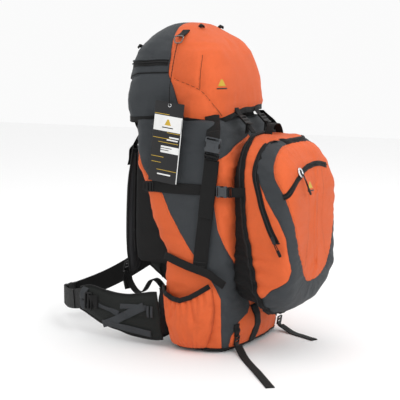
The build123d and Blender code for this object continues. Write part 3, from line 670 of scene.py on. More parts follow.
class BACKPACK_OT_stage(BuildStep, bpy.types.Operator):
    """Set the pale floor, the soft studio light and the camera"""

    bl_idname = "backpack.stage"
    bl_label = "Stage and camera"

    def execute(self, context):
        mesh = raw_mesh("studio_floor", [(-6000, -6000, 0), (6000, -6000, 0), (6000, 6000, 0), (-6000, 6000, 0)],
                        [(0, 1, 2, 3)])
        g, shader, material = new_finish("studio_paper", 0.9)
        grain = group_node(g, "moulded_grain", {"Grain": 300.0})
        shade = g.maths("MULTIPLY_ADD", grain["Height"], 0.02, 0.98)
        g.tree.links.new(shaded(g, (0.95, 0.95, 0.95, 1), shade, 0.0), shader.inputs["Base Color"])
        floor = as_object("studio_floor", mesh, [material], None)
        world = bpy.data.worlds.new("studio_air")
        world.use_nodes = True
        world.node_tree.nodes["Background"].inputs[0].default_value = (1.0, 1.0, 1.0, 1.0)
        world.node_tree.nodes["Background"].inputs[1].default_value = 0.96
        context.scene.world = world
        context.scene.view_settings.view_transform = "Standard"
        self.lamp(context, "key_light", (-1.6, -3.0, 2.6), 1.2, 34.0)
        self.lamp(context, "fill_light", (-2.6, 1.6, 1.4), 2.0, 2.0)
        self.lamp(context, "front_light", (1.4, -2.8, 1.6), 1.6, 6.0)
        self.lamp(context, "top_light", (0.4, 0.4, 3.4), 2.4, 22.0)
        data = bpy.data.cameras.new("studio_camera")
        data.lens, data.sensor_width = 95.85, 36.0
        data.shift_x, data.shift_y = -0.0125, -0.0325
        camera = bpy.data.objects.new("studio_camera", data)
        context.scene.collection.objects.link(camera)
        camera.location = (-2.2517, -1.24, 0.70)
        aim = Vector((0.0, 0.06, 0.37))
        camera.rotation_euler = (aim - camera.location).to_track_quat("-Z", "Y").to_euler()
        context.scene.camera = camera
        return {"FINISHED"}

    def lamp(self, context, name, location, width, power):
        data = bpy.data.lights.new(name, "AREA")
        data.size, data.energy = width, power
        lamp = bpy.data.objects.new(name, data)
        context.scene.collection.objects.link(lamp)
        lamp.location = location
        lamp.rotation_euler = (Vector((0, 0, 0.35)) - lamp.location).to_track_quat("-Z", "Y").to_euler()


def route_curve(name, points):
    """The smooth line of a cord from its route in metres, and the points read from it in millimetres."""
    data = bpy.data.curves.new(name, "CURVE")
    data.dimensions = "3D"
    data.resolution_u = 24
    spline = data.splines.new("NURBS")
    spline.points.add(len(points) - 1)
    for point, co in zip(spline.points, points):
        point.co = (*co, 1)
    spline.order_u = 3
    spline.use_endpoint_u = True
    obj = bpy.data.objects.new(name, data)
    mesh = bpy.data.meshes.new_from_object(obj)
    line = np.array([v.co for v in mesh.vertices]) / MM
    bpy.data.objects.remove(obj)
    bpy.data.curves.remove(data)
    bpy.data.meshes.remove(mesh)
    return line


def resampled(line, step):
    run = np.r_[0, np.linalg.norm(np.diff(line, axis=0), axis=1).cumsum()]
    at = np.linspace(0, run[-1], max(int(run[-1] / step), 2) + 1)
    return np.stack([np.interp(at, run, line[:, k]) for k in range(3)], 1)


class BACKPACK_OT_strap_tails(BuildStep, bpy.types.Operator):
    """Lay the loose tails of the two base straps over the floor"""

    bl_idname = "backpack.strap_tails"
    bl_label = "Loose strap tails"

    TAILS = {
        "left": ((-0.102, -0.089), (-0.308, -0.275),
                 [(0, 0.014), (0.020, 0.0095), (0.052, 0.0019), (0.110, 0.0009), (0.185, 0.0034), (0.281, 0.0009)]),
        "right": ((0.125, -0.089), (0.080, -0.199),
                  [(0, 0.014), (0.018, 0.009), (0.045, 0.0016), (0.083, 0.0026), (0.124, 0.0009)]),
    }

    def execute(self, context):
        width, thick = 20.0, size("webbing")
        for side, (start, end, route) in self.TAILS.items():
            heading = Vector((end[0] - start[0], end[1] - start[1], 0)).normalized()
            points = [(start[0] + heading.x * d, start[1] + heading.y * d, h) for d, h in route]
            line = resampled(route_curve("tail_route", points), 3.0)
            heading = np.array(heading)
            across = np.cross(heading, (0, 0, 1))
            normals = unit(np.cross(across, tangents(line)))
            strip = strap_mesh("tail", line, normals, width, thick)
            hem = line[-5:] + normals[-5:] * 1.3
            parts = [(strip, None, 0), (strap_mesh("fold", hem, normals[-5:], width - 0.8, 1.1), None, 0)]
            for row in (-6.5, 0, 6.5):
                edge = line[-5:] + across * row + normals[-5:] * 1.8
                parts.append((stitches("stitch", edge, normals[-5:], 2.4, 1.7), None, 1))
            obj = as_object(f"strap_tail_{side}_web", joined("tail", parts),
                            [black_webbing(), thread("black_thread", (0.02, 0.02, 0.02, 1))], "pack")
            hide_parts(f"strap_tail_{side}")
        return {"FINISHED"}


# ---------------------------------------------------------------- surfaces that trims are laid on
class Surface:
    """A finished cloth piece that seams, bindings and straps are laid on."""

    def __init__(self, mesh):
        verts = [v.co / MM for v in mesh.vertices]
        self.tree = BVHTree.FromPolygons(verts, [tuple(p.vertices) for p in mesh.polygons])

    def lay(self, line, lift=0.3, outward=None, reach=80.0):
        """Moves a line onto the surface and returns its points and the surface's normals there."""
        points, normals = [], []
        for k, p in enumerate(np.asarray(line, float)):
            hit = None
            if outward is not None:
                way = Vector(np.broadcast_to(outward, (len(line), 3))[k]).normalized()
                hit = self.tree.ray_cast(Vector(p) + way * reach, -way, 2 * reach)
            if hit is None or hit[0] is None:
                hit = self.tree.find_nearest(Vector(p))
            points.append(np.array(hit[0]))
            normals.append(np.array(hit[1]))
        points, normals = np.array(points), np.array(normals)
        if outward is not None:
            turned = (normals * np.broadcast_to(outward, normals.shape)).sum(1) < 0
            normals[turned] *= -1
        kernel = np.array([1, 2, 3, 2, 1]) / 9
        padded = np.pad(normals, ((2, 2), (0, 0)), mode="edge")
        normals = unit(np.stack([np.convolve(padded[:, k], kernel, "valid") for k in range(3)], 1))
        return points + normals * lift, normals


def billow(obj, held, pressure=3.0, frames=14, cap=9.0, shrink=0.0, stiffness=12.0):
    """Inflates a cloth piece like its stuffing does; held is a share from 0 to 1 per vertex that stays in place."""
    mesh = obj.data
    start = np.zeros(len(mesh.vertices) * 3, np.float32)
    mesh.vertices.foreach_get("co", start)
    start = start.reshape(-1, 3)
    group = obj.vertex_groups.new(name="held")
    for index, share in enumerate(held):
        if share > 0.01:
            group.add([index], float(min(share, 1.0)), "REPLACE")
    cloth_mod = obj.modifiers.new("stuffing", "CLOTH")
    settings = cloth_mod.settings
    settings.quality = 5
    settings.mass = 0.25
    settings.tension_stiffness = stiffness
    settings.compression_stiffness = stiffness
    settings.shear_stiffness = 4.0
    settings.bending_stiffness = 0.4
    settings.tension_damping = settings.compression_damping = 15.0
    settings.air_damping = 4.0
    settings.use_pressure = True
    settings.uniform_pressure_force = pressure
    settings.vertex_group_mass = "held"
    settings.pin_stiffness = 5.0
    settings.shrink_min = -shrink
    settings.effector_weights.gravity = 0.0
    cloth_mod.collision_settings.use_collision = False
    scene = bpy.context.scene
    for number in range(1, frames + 1):
        scene.frame_set(number)
    result = bpy.data.meshes.new_from_object(obj.evaluated_get(bpy.context.evaluated_depsgraph_get()))
    end = np.zeros(len(result.vertices) * 3, np.float32)
    result.vertices.foreach_get("co", end)
    move = end.reshape(-1, 3) - start
    far = np.linalg.norm(move, axis=1, keepdims=True)
    move *= np.tanh(far / (cap * MM)) * cap * MM / np.maximum(far, 1e-9)
    move[~np.isfinite(move).all(1)] = 0.0
    obj.modifiers.remove(cloth_mod)
    obj.vertex_groups.clear()
    bpy.data.meshes.remove(result)
    mesh.vertices.foreach_set("co", (start + move).ravel())
    mesh.update()
    scene.frame_set(1)


def coordinates(mesh):
    co = np.zeros(len(mesh.vertices) * 3, np.float32)
    mesh.vertices.foreach_get("co", co)
    return co.reshape(-1, 3).astype(float) / MM


SURFACES = {}

# ---- main bag: front line, rear line, and the two colour seams, each as (height, place)
BAG_HALF, BAG_REAR_R, BAG_FRONT_R = 148.5, 24.0, 46.0
BAG_FRONT = [(3, -66), (8, -74), (16, -79), (440, -79), (540, -45), (560, -40)]
BAG_REAR = [(3, 64), (60, 86), (233, 87), (300, 114), (368, 138), (440, 164), (540, 168), (560, 168)]
FLAME_REAR = [(0, -66), (130, -64), (150, -55), (178, -38), (200, -18), (240, 14), (318, 63), (370, 92), (405, 128),
              (445, 152), (480, 175), (560, 190)]
FLAME_FRONT = [(0, -84), (20, -86), (35, -90), (68, -114), (85, -145), (100, -164), (140, -156), (178, -134),
               (218, -94), (250, -74), (292, -57), (378, -44), (440, -44), (452, -50), (482, -118), (500, -190),
               (510, -260), (560, -300)]
LID_WEBBING_LINE = [(-12, 192), (-46, 458)]
COMPRESSION_LINE = [(136, 384), (-61, 384)]
LOWER_LINE = [(78, 222), (-37, 190), (-79, 165)]


def bag_plan(z):
    pull = 14 * math.exp(-z / 7.0)
    front_r = float(np.interp(z, (0, 300, 440, 540), (BAG_FRONT_R, BAG_FRONT_R, 32, 30)))
    return BAG_HALF - pull, table(BAG_FRONT, z)[0], table(BAG_REAR, z)[0], BAG_REAR_R, front_r


def bag_seams(z):
    """Arc positions of rear seam, flame rear edge, flame front edge and the middle of the front."""
    half, front, rear, rear_r, front_r = bag_plan(z)
    corner, middle = plan_lengths(half, front, rear, rear_r, front_r)
    rear_seam = corner - 34
    edges = [corner + rear - rear_r - table(line, z)[0] for line in (FLAME_REAR, FLAME_FRONT)]
    first = min(max(edges[0], rear_seam), middle)
    second = min(max(edges[1], first), middle)
    return [0.0, rear_seam, first, second, middle]


class BACKPACK_OT_main_bag(BuildStep, bpy.types.Operator):
    """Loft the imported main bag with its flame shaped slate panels, base and gathered collar"""

    bl_idname = "backpack.main_bag"
    bl_label = "Main bag"

    COUNTS = (12, 16, 22, 30)

    def execute(self, context):
        heights = np.r_[3, 5, 8, 11, np.arange(15, 541, 5.0)]
        rows, marks, places = [], [], []
        for z in heights:
            plan, seams = bag_plan(z), bag_seams(z)
            row, place_row, mark_row = [], [], []
            for k, count in enumerate(self.COUNTS):
                for t in spread(count)[:-1]:
                    u = seams[k] + (seams[k + 1] - seams[k]) * t
                    x, y = rounded_plan(u, *plan)
                    row.append((x, y, z))
                    corner = plan_lengths(*plan)[0]
                    place_row.append((corner + plan[2] - plan[3] - u, z, k + t))
                    mark_row.append((0, 1, 2, 1)[k] if z > 9 else 3)
            x, y = rounded_plan(seams[-1], *plan)
            row.append((x, y, z))
            place_row.append((plan_lengths(*plan)[0] + plan[2] - plan[3] - seams[-1], z, 4.0))
            mirrored = [(-x, y, z) for x, y, z in row[-2:0:-1]]
            rows.append(row + mirrored)
            places.append(place_row + place_row[-2:0:-1])
            marks.append(mark_row + mark_row[::-1])
        points, places = np.array(rows, float), np.array(places, float)
        points += self.relief(points, places)[..., None] * self.outward(points)
        floor_rows, floor_marks = [], []
        for share, z in ((0.0, 1.0), (0.4, 1.0), (0.75, 1.2), (0.95, 1.6)):
            ring = points[0] * (share, share, 0) + (0, 0, z)
            floor_rows.append(ring)
            floor_marks.append([3] * points.shape[1])
        top = points[-1]
        for inset, z in ((10, 544), (22, 545)):
            middle = np.array([0, 62, 0])
            away = top - middle
            reach = np.linalg.norm(away[:, :2], axis=1, keepdims=True)
            ring = middle + away * (1 - inset / reach)
            ring[:, 2] = z
            floor_rows.append(ring)
        full = np.concatenate([floor_rows[:4], points, floor_rows[4:]])
        all_marks = np.array(floor_marks + marks + [[2] * points.shape[1]] * 2)
        mesh = grid_mesh("bag", full, all_marks, closed=True)
        obj = as_object("bag_cloth", mesh, [black_cloth(), orange_cloth(), slate_cloth(), black_cloth()],
                        "pack")
        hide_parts("main_bag", "base_panel")
        SURFACES["bag"] = Surface(obj.data)
        self.trims()
        self.collar()
        return {"FINISHED"}

    def outward(self, points):
        normals = grid_normals(points, closed=True)
        away = points - (0, 30, 0)
        turned = (normals[..., :2] * away[..., :2]).sum(-1) < 0
        normals[turned] *= -1
        normals[..., 2] *= 0.5
        return unit(normals)

    def relief(self, points, places):
        flat = places[..., :2]
        seams = [[(table(FLAME_REAR, z)[0], z) for z in range(0, 480, 12)],
                 [(table(FLAME_FRONT, z)[0], z) for z in range(0, 500, 12)]]
        seam = np.minimum(near_line(flat, seams[0]), near_line(flat, seams[1]))
        straps = np.minimum.reduce([
            near_line(flat, LID_WEBBING_LINE) - 19, near_line(flat, COMPRESSION_LINE) - 12,
            near_line(flat, LOWER_LINE) - 9])
        straps = np.maximum(straps, 0)
        on_side = 1 / (1 + np.exp((np.abs(places[..., 0] - 30) - 118) / 8))
        free = 1 - np.exp(-(straps / 24) ** 2) * on_side
        swell = 5.5 * free * np.clip(np.sin(np.pi * np.clip((places[..., 1] - 3) / 560, 0, 1)), 0.25, 1)
        low_front = np.clip((-92 - places[..., 0]) / 70, 0, 1) * np.exp(-((places[..., 1] - 62) / 46) ** 2)
        wrinkle, seed = size("wrinkle"), bpy.context.scene.backpack_sizes.fold_seed
        folds = noise_at(points, (46, 46, 15), seed) * 1.0 + noise_at(points, (16, 16, 34), seed + 4) * 0.5
        pinch = np.exp(-straps / 20) * noise_at(points, (9, 9, 30), seed + 9) * 1.4
        tight = np.exp(-seam / 13) * np.sin(places[..., 1] * 0.55 + 3 * noise_at(points, (60, 60, 40), seed)) * 0.55
        groove = -1.7 * np.exp(-(seam / 2.4) ** 2)
        near_back = np.clip(1 - places[..., 2], 0, 1)
        return (swell + 20 * low_front + (folds * wrinkle + pinch * free + tight) * free.clip(0.35, 1)
                ) * (1 - 0.85 * near_back) + groove

    def trims(self):
        """Topstitching beside the seams and the corded edge round the base."""
        bag = SURFACES["bag"]
        parts = []
        for line, start, stop in ((FLAME_REAR, 142, 470), (FLAME_FRONT, 12, 496)):
            for side in (-1, 1):
                for beside in (-3.2, 3.2):
                    course = []
                    for z in np.arange(start, stop, 4.0):
                        plan = bag_plan(z)
                        corner, middle = plan_lengths(*plan)
                        u = min(corner + plan[2] - plan[3] - table(line, z)[0] + beside, middle)
                        x, y = rounded_plan(u, *plan)
                        course.append((side * -x, y, z))
                    course = np.array(course)
                    outward = course - (0, 30, 0)
                    outward[:, 2] = 0
                    points, normals = bag.lay(course, 0.1, unit(outward), 30)
                    parts.append((stitches("stitch", points, normals, 3.4, 2.4, 0.45), None, 0))
        as_object("bag_topstitch", joined("bag_topstitch", parts),
                  [thread("dark_thread", (0.03, 0.022, 0.018, 1))], "pack")
        rim = []
        plan = bag_plan(11)
        middle = plan_lengths(*plan)[1]
        for u in np.arange(0, middle, 5.0):
            rim.append((*rounded_plan(u, *plan), 10.5))
        rim = np.array(rim + [(-x, y, z) for x, y, z in rim[::-1]])
        outward = rim - (0, 0, 10)
        points, normals = bag.lay(rim, 0.6, unit(outward * (1, 1, 0)), 20)
        as_object("bag_base_piping", tube_mesh("bag_base_piping", points, 2.4, closed=True), [zip_tape()], "pack")

    def collar(self):
        """The gathered collar between bag and lid, drawn in at its top."""
        rows = []
        count = 240
        for z, inset in ((541, 6), (546, 7), (552, 9), (558, 12), (564, 16), (570, 21), (574, 27)):
            ring = []
            for k in range(count):
                a = 2 * math.pi * k / count
                u = k / count
                plan = (134 - inset, -34 + inset, 160 - inset, 40, 50)
                middle = plan_lengths(*plan)[1]
                at = u * 2 * middle
                x, y = rounded_plan(at if at < middle else 2 * middle - at, *plan)
                x = x if at < middle else -x
                pleat = math.sin(a * 38 + 1.4 * math.sin(a * 5)) * (1.0 + inset * 0.1)
                scale = 1 + pleat * 0.012
                ring.append((x * scale, 62 + (y - 62) * scale, z))
            rows.append(ring)
        mesh = grid_mesh("collar", np.array(rows, float), closed=True)
        obj = as_object("collar_cloth", mesh, [black_cloth()], "pack")
        thicken = obj.modifiers.new("cloth", "SOLIDIFY")
        thicken.thickness = 0.8 * MM
        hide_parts("snow_collar")


# ---- lid: rings as (height, half width, front, rear, rear radius, front radius), and its colour seam
LID_RINGS = [(538, 143, -50, 202, 42, 78), (565, 147, -53, 204, 42, 80), (600, 146, -50, 202, 42, 80),
             (640, 142, -46, 199, 42, 78), (675, 136, -38, 195, 43, 76), (703, 127, -29, 190, 46, 72),
             (722, 116, -14, 181, 50, 68), (738, 103, 10, 168, 52, 62), (752, 86, 32, 152, 46, 52),
             (762, 70, 48, 138, 38, 42), (768, 52, 62, 124, 28, 28), (771, 30, 78, 108, 14, 14)]
LID_COLOUR = [(536, 32), (585, 51), (621, 62), (649, 76), (691, 77), (727, 85), (771, 95)]
LID_HEM = [(-400, 562), (-300, 566), (-215, 563), (-150, 558), (-95, 547), (-60, 538), (-20, 534), (34, 540),
           (110, 541), (175, 536), (215, 538), (260, 548), (330, 551)]


def lid_plan(z):
    return table(LID_RINGS, z)


def lid_seam(z):
    plan = lid_plan(z)
    corner, middle = plan_lengths(*plan)
    return corner + plan[2] - plan[3] - table(LID_COLOUR, z)[0], corner, middle


class BACKPACK_OT_lid(BuildStep, bpy.types.Operator):
    """Build the domed lid with its hem, seams, zip and folds"""

    bl_idname = "backpack.lid"
    bl_label = "Floating lid"

    COUNTS = (34, 44)

    def execute(self, context):
        heights = np.r_[538, 541, 545, np.arange(550, 700, 5.0), np.arange(700, 752, 3.5), 755, 758, 761, 763.5,
                        765.5, 767.5, 769, 770, 771]
        rows, marks, places = [], [], []
        for z in heights:
            plan = lid_plan(z)
            seam, corner, middle = lid_seam(z)
            row, mark, place_row = [], [], []
            for k, (start, stop) in enumerate(((0, seam), (seam, middle))):
                for t in spread(self.COUNTS[k])[:-1]:
                    u = start + (stop - start) * t
                    row.append((*rounded_plan(u, *plan), z))
                    mark.append(1 - k)
                    place_row.append((corner + plan[2] - plan[3] - u, z, k + t))
            row.append((*rounded_plan(middle, *plan), z))
            place_row.append((corner + plan[2] - plan[3] - middle, z, 2.0))
            mirrored = [(-x, y, z) for x, y, z in row[-2:0:-1]]
            rows.append(row + mirrored)
            far = place_row[-2:0:-1]
            places.append(place_row + far)
            marks.append(mark + mark[::-1])
        points, places = np.array(rows, float), np.array(places, float)
        points += (self.relief(points, places)[..., None]) * self.outward(points)
        lift = self.hem(points, places)
        share = np.clip((620 - points[..., 2]) / 82, 0, 1)
        points[..., 2] += (lift - 538) * share
        top = np.tile(points[-1].mean(0) + (0, 0, 0.6), (1, points.shape[1], 1))
        under = []
        for inset, drop in ((3, -1.0), (9, 4.0), (16, 16.0)):
            ring = points[0].copy()
            away = ring - (0, 76, 0)
            reach = np.linalg.norm(away[:, :2], axis=1, keepdims=True)
            ring[:, :2] -= away[:, :2] / reach * inset
            ring[:, 2] += drop
            under.append(ring)
        full = np.concatenate([under[::-1], points, top])
        all_marks = np.array([[2] * points.shape[1]] * 3 + marks)
        mesh = grid_mesh("lid", full, all_marks, closed=True)
        obj = as_object("lid_cloth", mesh, [orange_cloth(), slate_cloth(), black_cloth()], "lid")
        held = np.clip((575 - coordinates(mesh)[:, 2]) / 12, 0, 1)
        billow(obj, held, pressure=2.2, frames=12, cap=5.0)
        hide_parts("lid_shell")
        SURFACES["lid"] = Surface(obj.data)
        self.trims()
        return {"FINISHED"}

    def hem(self, points, places):
        lift = np.interp(places[..., 0], [a for a, b in LID_HEM], [b for a, b in LID_HEM])
        far = np.clip(points[..., 0] / 60, 0, 1) * np.clip((60 - points[..., 1]) / 90, 0, 1)
        return lift + far * (563 - lift)

    def outward(self, points):
        normals = grid_normals(points, closed=True)
        away = points - (0, 76, 560)
        normals[(normals * away).sum(-1) < 0] *= -1
        return normals

    def relief(self, points, places):
        seed = bpy.context.scene.backpack_sizes.fold_seed + 20
        z = points[..., 2]
        swell = 3.0 * np.sin(np.pi * np.clip((z - 545) / 150, 0, 1))
        folds = noise_at(points, (60, 60, 26), seed) * 2.4 + noise_at(points, (22, 22, 60), seed + 3) * 1.5
        drape = noise_at(points, (12, 12, 70), seed + 5) * np.clip((650 - z) / 90, 0, 1) * 2.2
        flat = places[..., :2]
        seams = [[(-4, 693), (-5, 650), (-6, 613)], [(60, 640), (51, 635), (-6, 613), (-36, 583), (-60, 540)],
                 [(240, 600), (215, 632), (150, 650), (76, 652)], [(a, b) for b, a in LID_COLOUR]]
        seam = np.minimum.reduce([near_line(flat, line) for line in seams])
        groove = -2.4 * np.exp(-(seam / 2.6) ** 2) - 2.2 * np.exp(-(seam / 9.0) ** 2)
        quiet = np.clip((771 - z) / 26, 0.05, 1)
        return (swell + folds + drape) * quiet + groove

    def line_at(self, course, side=-1):
        """Points on the lid from (place along the plan, height) pairs, on the near (-1) or far (1) side."""
        line = []
        for place_y, z in course:
            plan = lid_plan(z)
            corner, middle = plan_lengths(*plan)
            u = corner + plan[2] - plan[3] - place_y
            x, y = rounded_plan(max(min(u, middle), 0.0), *plan)
            line.append((x * -side, y, z))
        return np.array(line)

    def outs(self, line):
        return unit(np.asarray(line) - (0, 76, 600))

    def trims(self):
        lid = SURFACES["lid"]
        dark = thread("dark_thread", (0.03, 0.022, 0.018, 1))
        parts = []
        for side in (-1, 1):
            for course in ([(-4, 693), (-5, 650), (-6, 615)],
                           [(60, 640), (51, 635), (-6, 613), (-36, 583), (-62, 552)],
                           [(a, b) for b, a in LID_COLOUR[1:-1]]):
                line = smooth_line(self.line_at(course, side), 3)
                points, normals = lid.lay(line, 0.1, self.outs(line))
                across = unit(np.cross(tangents(points), normals)) * 2.6
                parts.append((stitches("stitch", points + across, normals, 3.4, 2.4, 0.45), None, 0))
                parts.append((tube_mesh("fell", points - normals * 0.15, 0.55, sides=6), None, 0))
        line = smooth_line(np.vstack([self.line_at([(76, 652), (150, 650), (215, 634), (250, 606)], -1),
                                      self.line_at([(250, 606), (215, 634), (150, 650), (76, 652)], 1)]), 3)
        points, normals = lid.lay(line, 0.3, self.outs(line))
        parts.append((tube_mesh("piping", points, 1.5), None, 1))
        as_object("lid_seams", joined("lid_seams", parts), [dark, zip_tape()], "lid")
        surface_mark("lid_mark", lid, (-96, -40, 618), (-0.8, -0.6, 0.35), "lid")
        self.binding()
        self.zip()

    def binding(self):
        """Black bound edge all round the lid."""
        ring = []
        for u in np.linspace(0, 1, 241)[:-1]:
            plan = lid_plan(545)
            corner, middle = plan_lengths(*plan)
            at = u * 2 * middle
            near = at < middle
            x, y = rounded_plan(at if near else 2 * middle - at, *plan)
            x = x if near else -x
            place_y = corner + plan[2] - plan[3] - (at if near else 2 * middle - at)
            spot = self.hem(np.array([[x, y, 545.0]]), np.array([[place_y, 545.0]]))[0]
            ring.append((x, y, spot + 4.5))
        ring = np.array(ring)
        outward = unit((ring - (0, 76, 0)) * (1, 1, 0))
        points, normals = SURFACES["lid"].lay(ring, 0.9, outward, 30)
        points[:, 2] = ring[:, 2]
        line = np.vstack([points, points[:1]])
        normals = np.vstack([normals, normals[:1]])
        normals[:, 2] *= 0.2
        parts = [(strap_mesh("band", line, unit(normals), size("binding") + 1, 1.8), None, 0)]
        low = line - (0, 0, 5.6)
        parts.append((tube_mesh("edge", low - unit(normals) * 0.4, 1.7, closed=False), None, 0))
        parts.append((stitches("stitch", line + (0, 0, 4.2) + unit(normals) * 0.9, unit(normals), 3.4, 2.4), None, 1))
        obj = as_object("lid_edge_binding", joined("lid_edge_binding", parts),
                        [zip_tape(), thread("black_thread", (0.02, 0.02, 0.02, 1))], "lid")
        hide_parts("lid_binding")

    def zip(self):
        """The rear pocket zip under its rain flap."""
        course = [(80, 676), (110, 675), (150, 673), (190, 671), (230, 670), (290, 669)]
        line = smooth_line(np.vstack([self.line_at(course, -1), self.line_at(course[::-1], 1)]), 4)
        points, normals = SURFACES["lid"].lay(line, 0.7, self.outs(line))
        parts = [(strap_mesh("tape", points, normals, 17, 1.2), None, 0)]
        across = unit(np.cross(tangents(points), normals))
        parts.append((tube_mesh("coil", points + normals * 0.9, 1.5, sides=6), None, 1))
        parts.append((stitches("teeth", points + normals * 1.6, normals, 2.0, 0.9, 3.6, 0.6), None, 1))
        flap = points + across * 7.0 * np.sign(across[:, 2:3].mean()) + normals * 0.7
        parts.append((tube_mesh("welt", flap, 2.0), None, 2))
        obj = as_object("lid_pocket_zip", joined("lid_pocket_zip", parts),
                        [zip_tape(), moulded("nylon_coil", (0.02, 0.02, 0.021, 1), 0.35), slate_cloth()], "lid")
        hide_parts("lid_zip")


# ---- daypack: q is the depth from the bag's front round the front edge and over the face, s the share round it
DAY_HALF, DAY_LOW, DAY_HIGH, DAY_R = 135.0, 76.0, 509.0, 105.0
DAY_EDGE, DAY_EDGE_R = 204.0, 35.0
DAY_RIM = [(76, 166), (100, 161), (116, 156), (145, 147), (206, 137), (309, 118), (430, 107), (510, 102)]
DAY_ZIP = [(0.0, 234), (0.045, 232), (0.055, 208), (0.072, 178), (0.096, 162), (0.12, 153), (0.136, 150), (0.15, 152),
           (0.2, 166), (0.24, 186), (0.268, 203)]
BAND_REAR = [(0.0, 233), (0.045, 232), (0.055, 208), (0.072, 178), (0.096, 162), (0.12, 153), (0.136, 152),
             (0.148, 157), (0.184, 175), (0.224, 206), (0.256, 224), (0.276, 227), (0.324, 238), (0.345, 230),
             (0.384, 164), (0.395, 150), (0.5, 150)]
BAND_FRONT = [(0.0, 235), (0.045, 234), (0.060, 230), (0.096, 214), (0.124, 201), (0.144, 202), (0.18, 222),
              (0.228, 245), (0.288, 262), (0.35, 285), (0.416, 302), (0.5, 306)]
POCKET_ZIP = [(-131, 378), (-112, 396), (-84, 414), (-50, 428), (-10, 437), (40, 440), (84, 432)]


def day_point(s, q):
    """A point of the daypack's cloth before folds; s runs round from the middle of the top by the near side."""
    if q <= DAY_EDGE:
        inset, y = 0.0, -q
    elif q < DAY_EDGE + DAY_EDGE_R * math.pi / 2:
        a = (q - DAY_EDGE) / DAY_EDGE_R
        inset, y = DAY_EDGE_R * (1 - math.cos(a)), -(DAY_EDGE + DAY_EDGE_R * math.sin(a))
    else:
        inset, y = DAY_EDGE_R + q - DAY_EDGE - DAY_EDGE_R * math.pi / 2, -(DAY_EDGE + DAY_EDGE_R)
    half, low, high = DAY_HALF - inset, DAY_LOW + inset, DAY_HIGH - inset
    r = max(DAY_R - inset * 0.76, 2.0)
    runs = [half - r, math.pi * r / 2, high - low - 2 * r, math.pi * r / 2, half - r]
    near = s <= 0.5
    t = (s if near else 1 - s) * 2 * sum(runs)
    for k, run in enumerate(runs):
        if t <= run or k == 4:
            break
        t -= run
    a = t / r
    x, z = [(-t, high), (-(half - r) - r * math.sin(a), high - r + r * math.cos(a)), (-half, high - r - t),
            (-(half - r) - r * math.cos(a), low + r - r * math.sin(a)), (-(half - r) + t, low)][k]
    bulk = np.interp(z, (76, 110, 190, 380, 440, 480, 509), (0.80, 0.85, 1.0, 1.0, 0.88, 0.72, 0.56))
    y = y if y > -112 else -112 + (y + 112) * bulk
    z += 26 * np.clip((-130 - y) / 60, 0, 1) * np.clip((200 - z) / 124, 0, 1)
    return np.array([x if near else -x, y, z])


def day_rim(s):
    return float(np.interp(day_point(s, 120)[2], [a for a, b in DAY_RIM], [b for a, b in DAY_RIM]))


def day_look(line, s):
    s = s if s <= 0.5 else 1 - s
    return float(np.interp(s, [a for a, b in line], [b for a, b in line]))


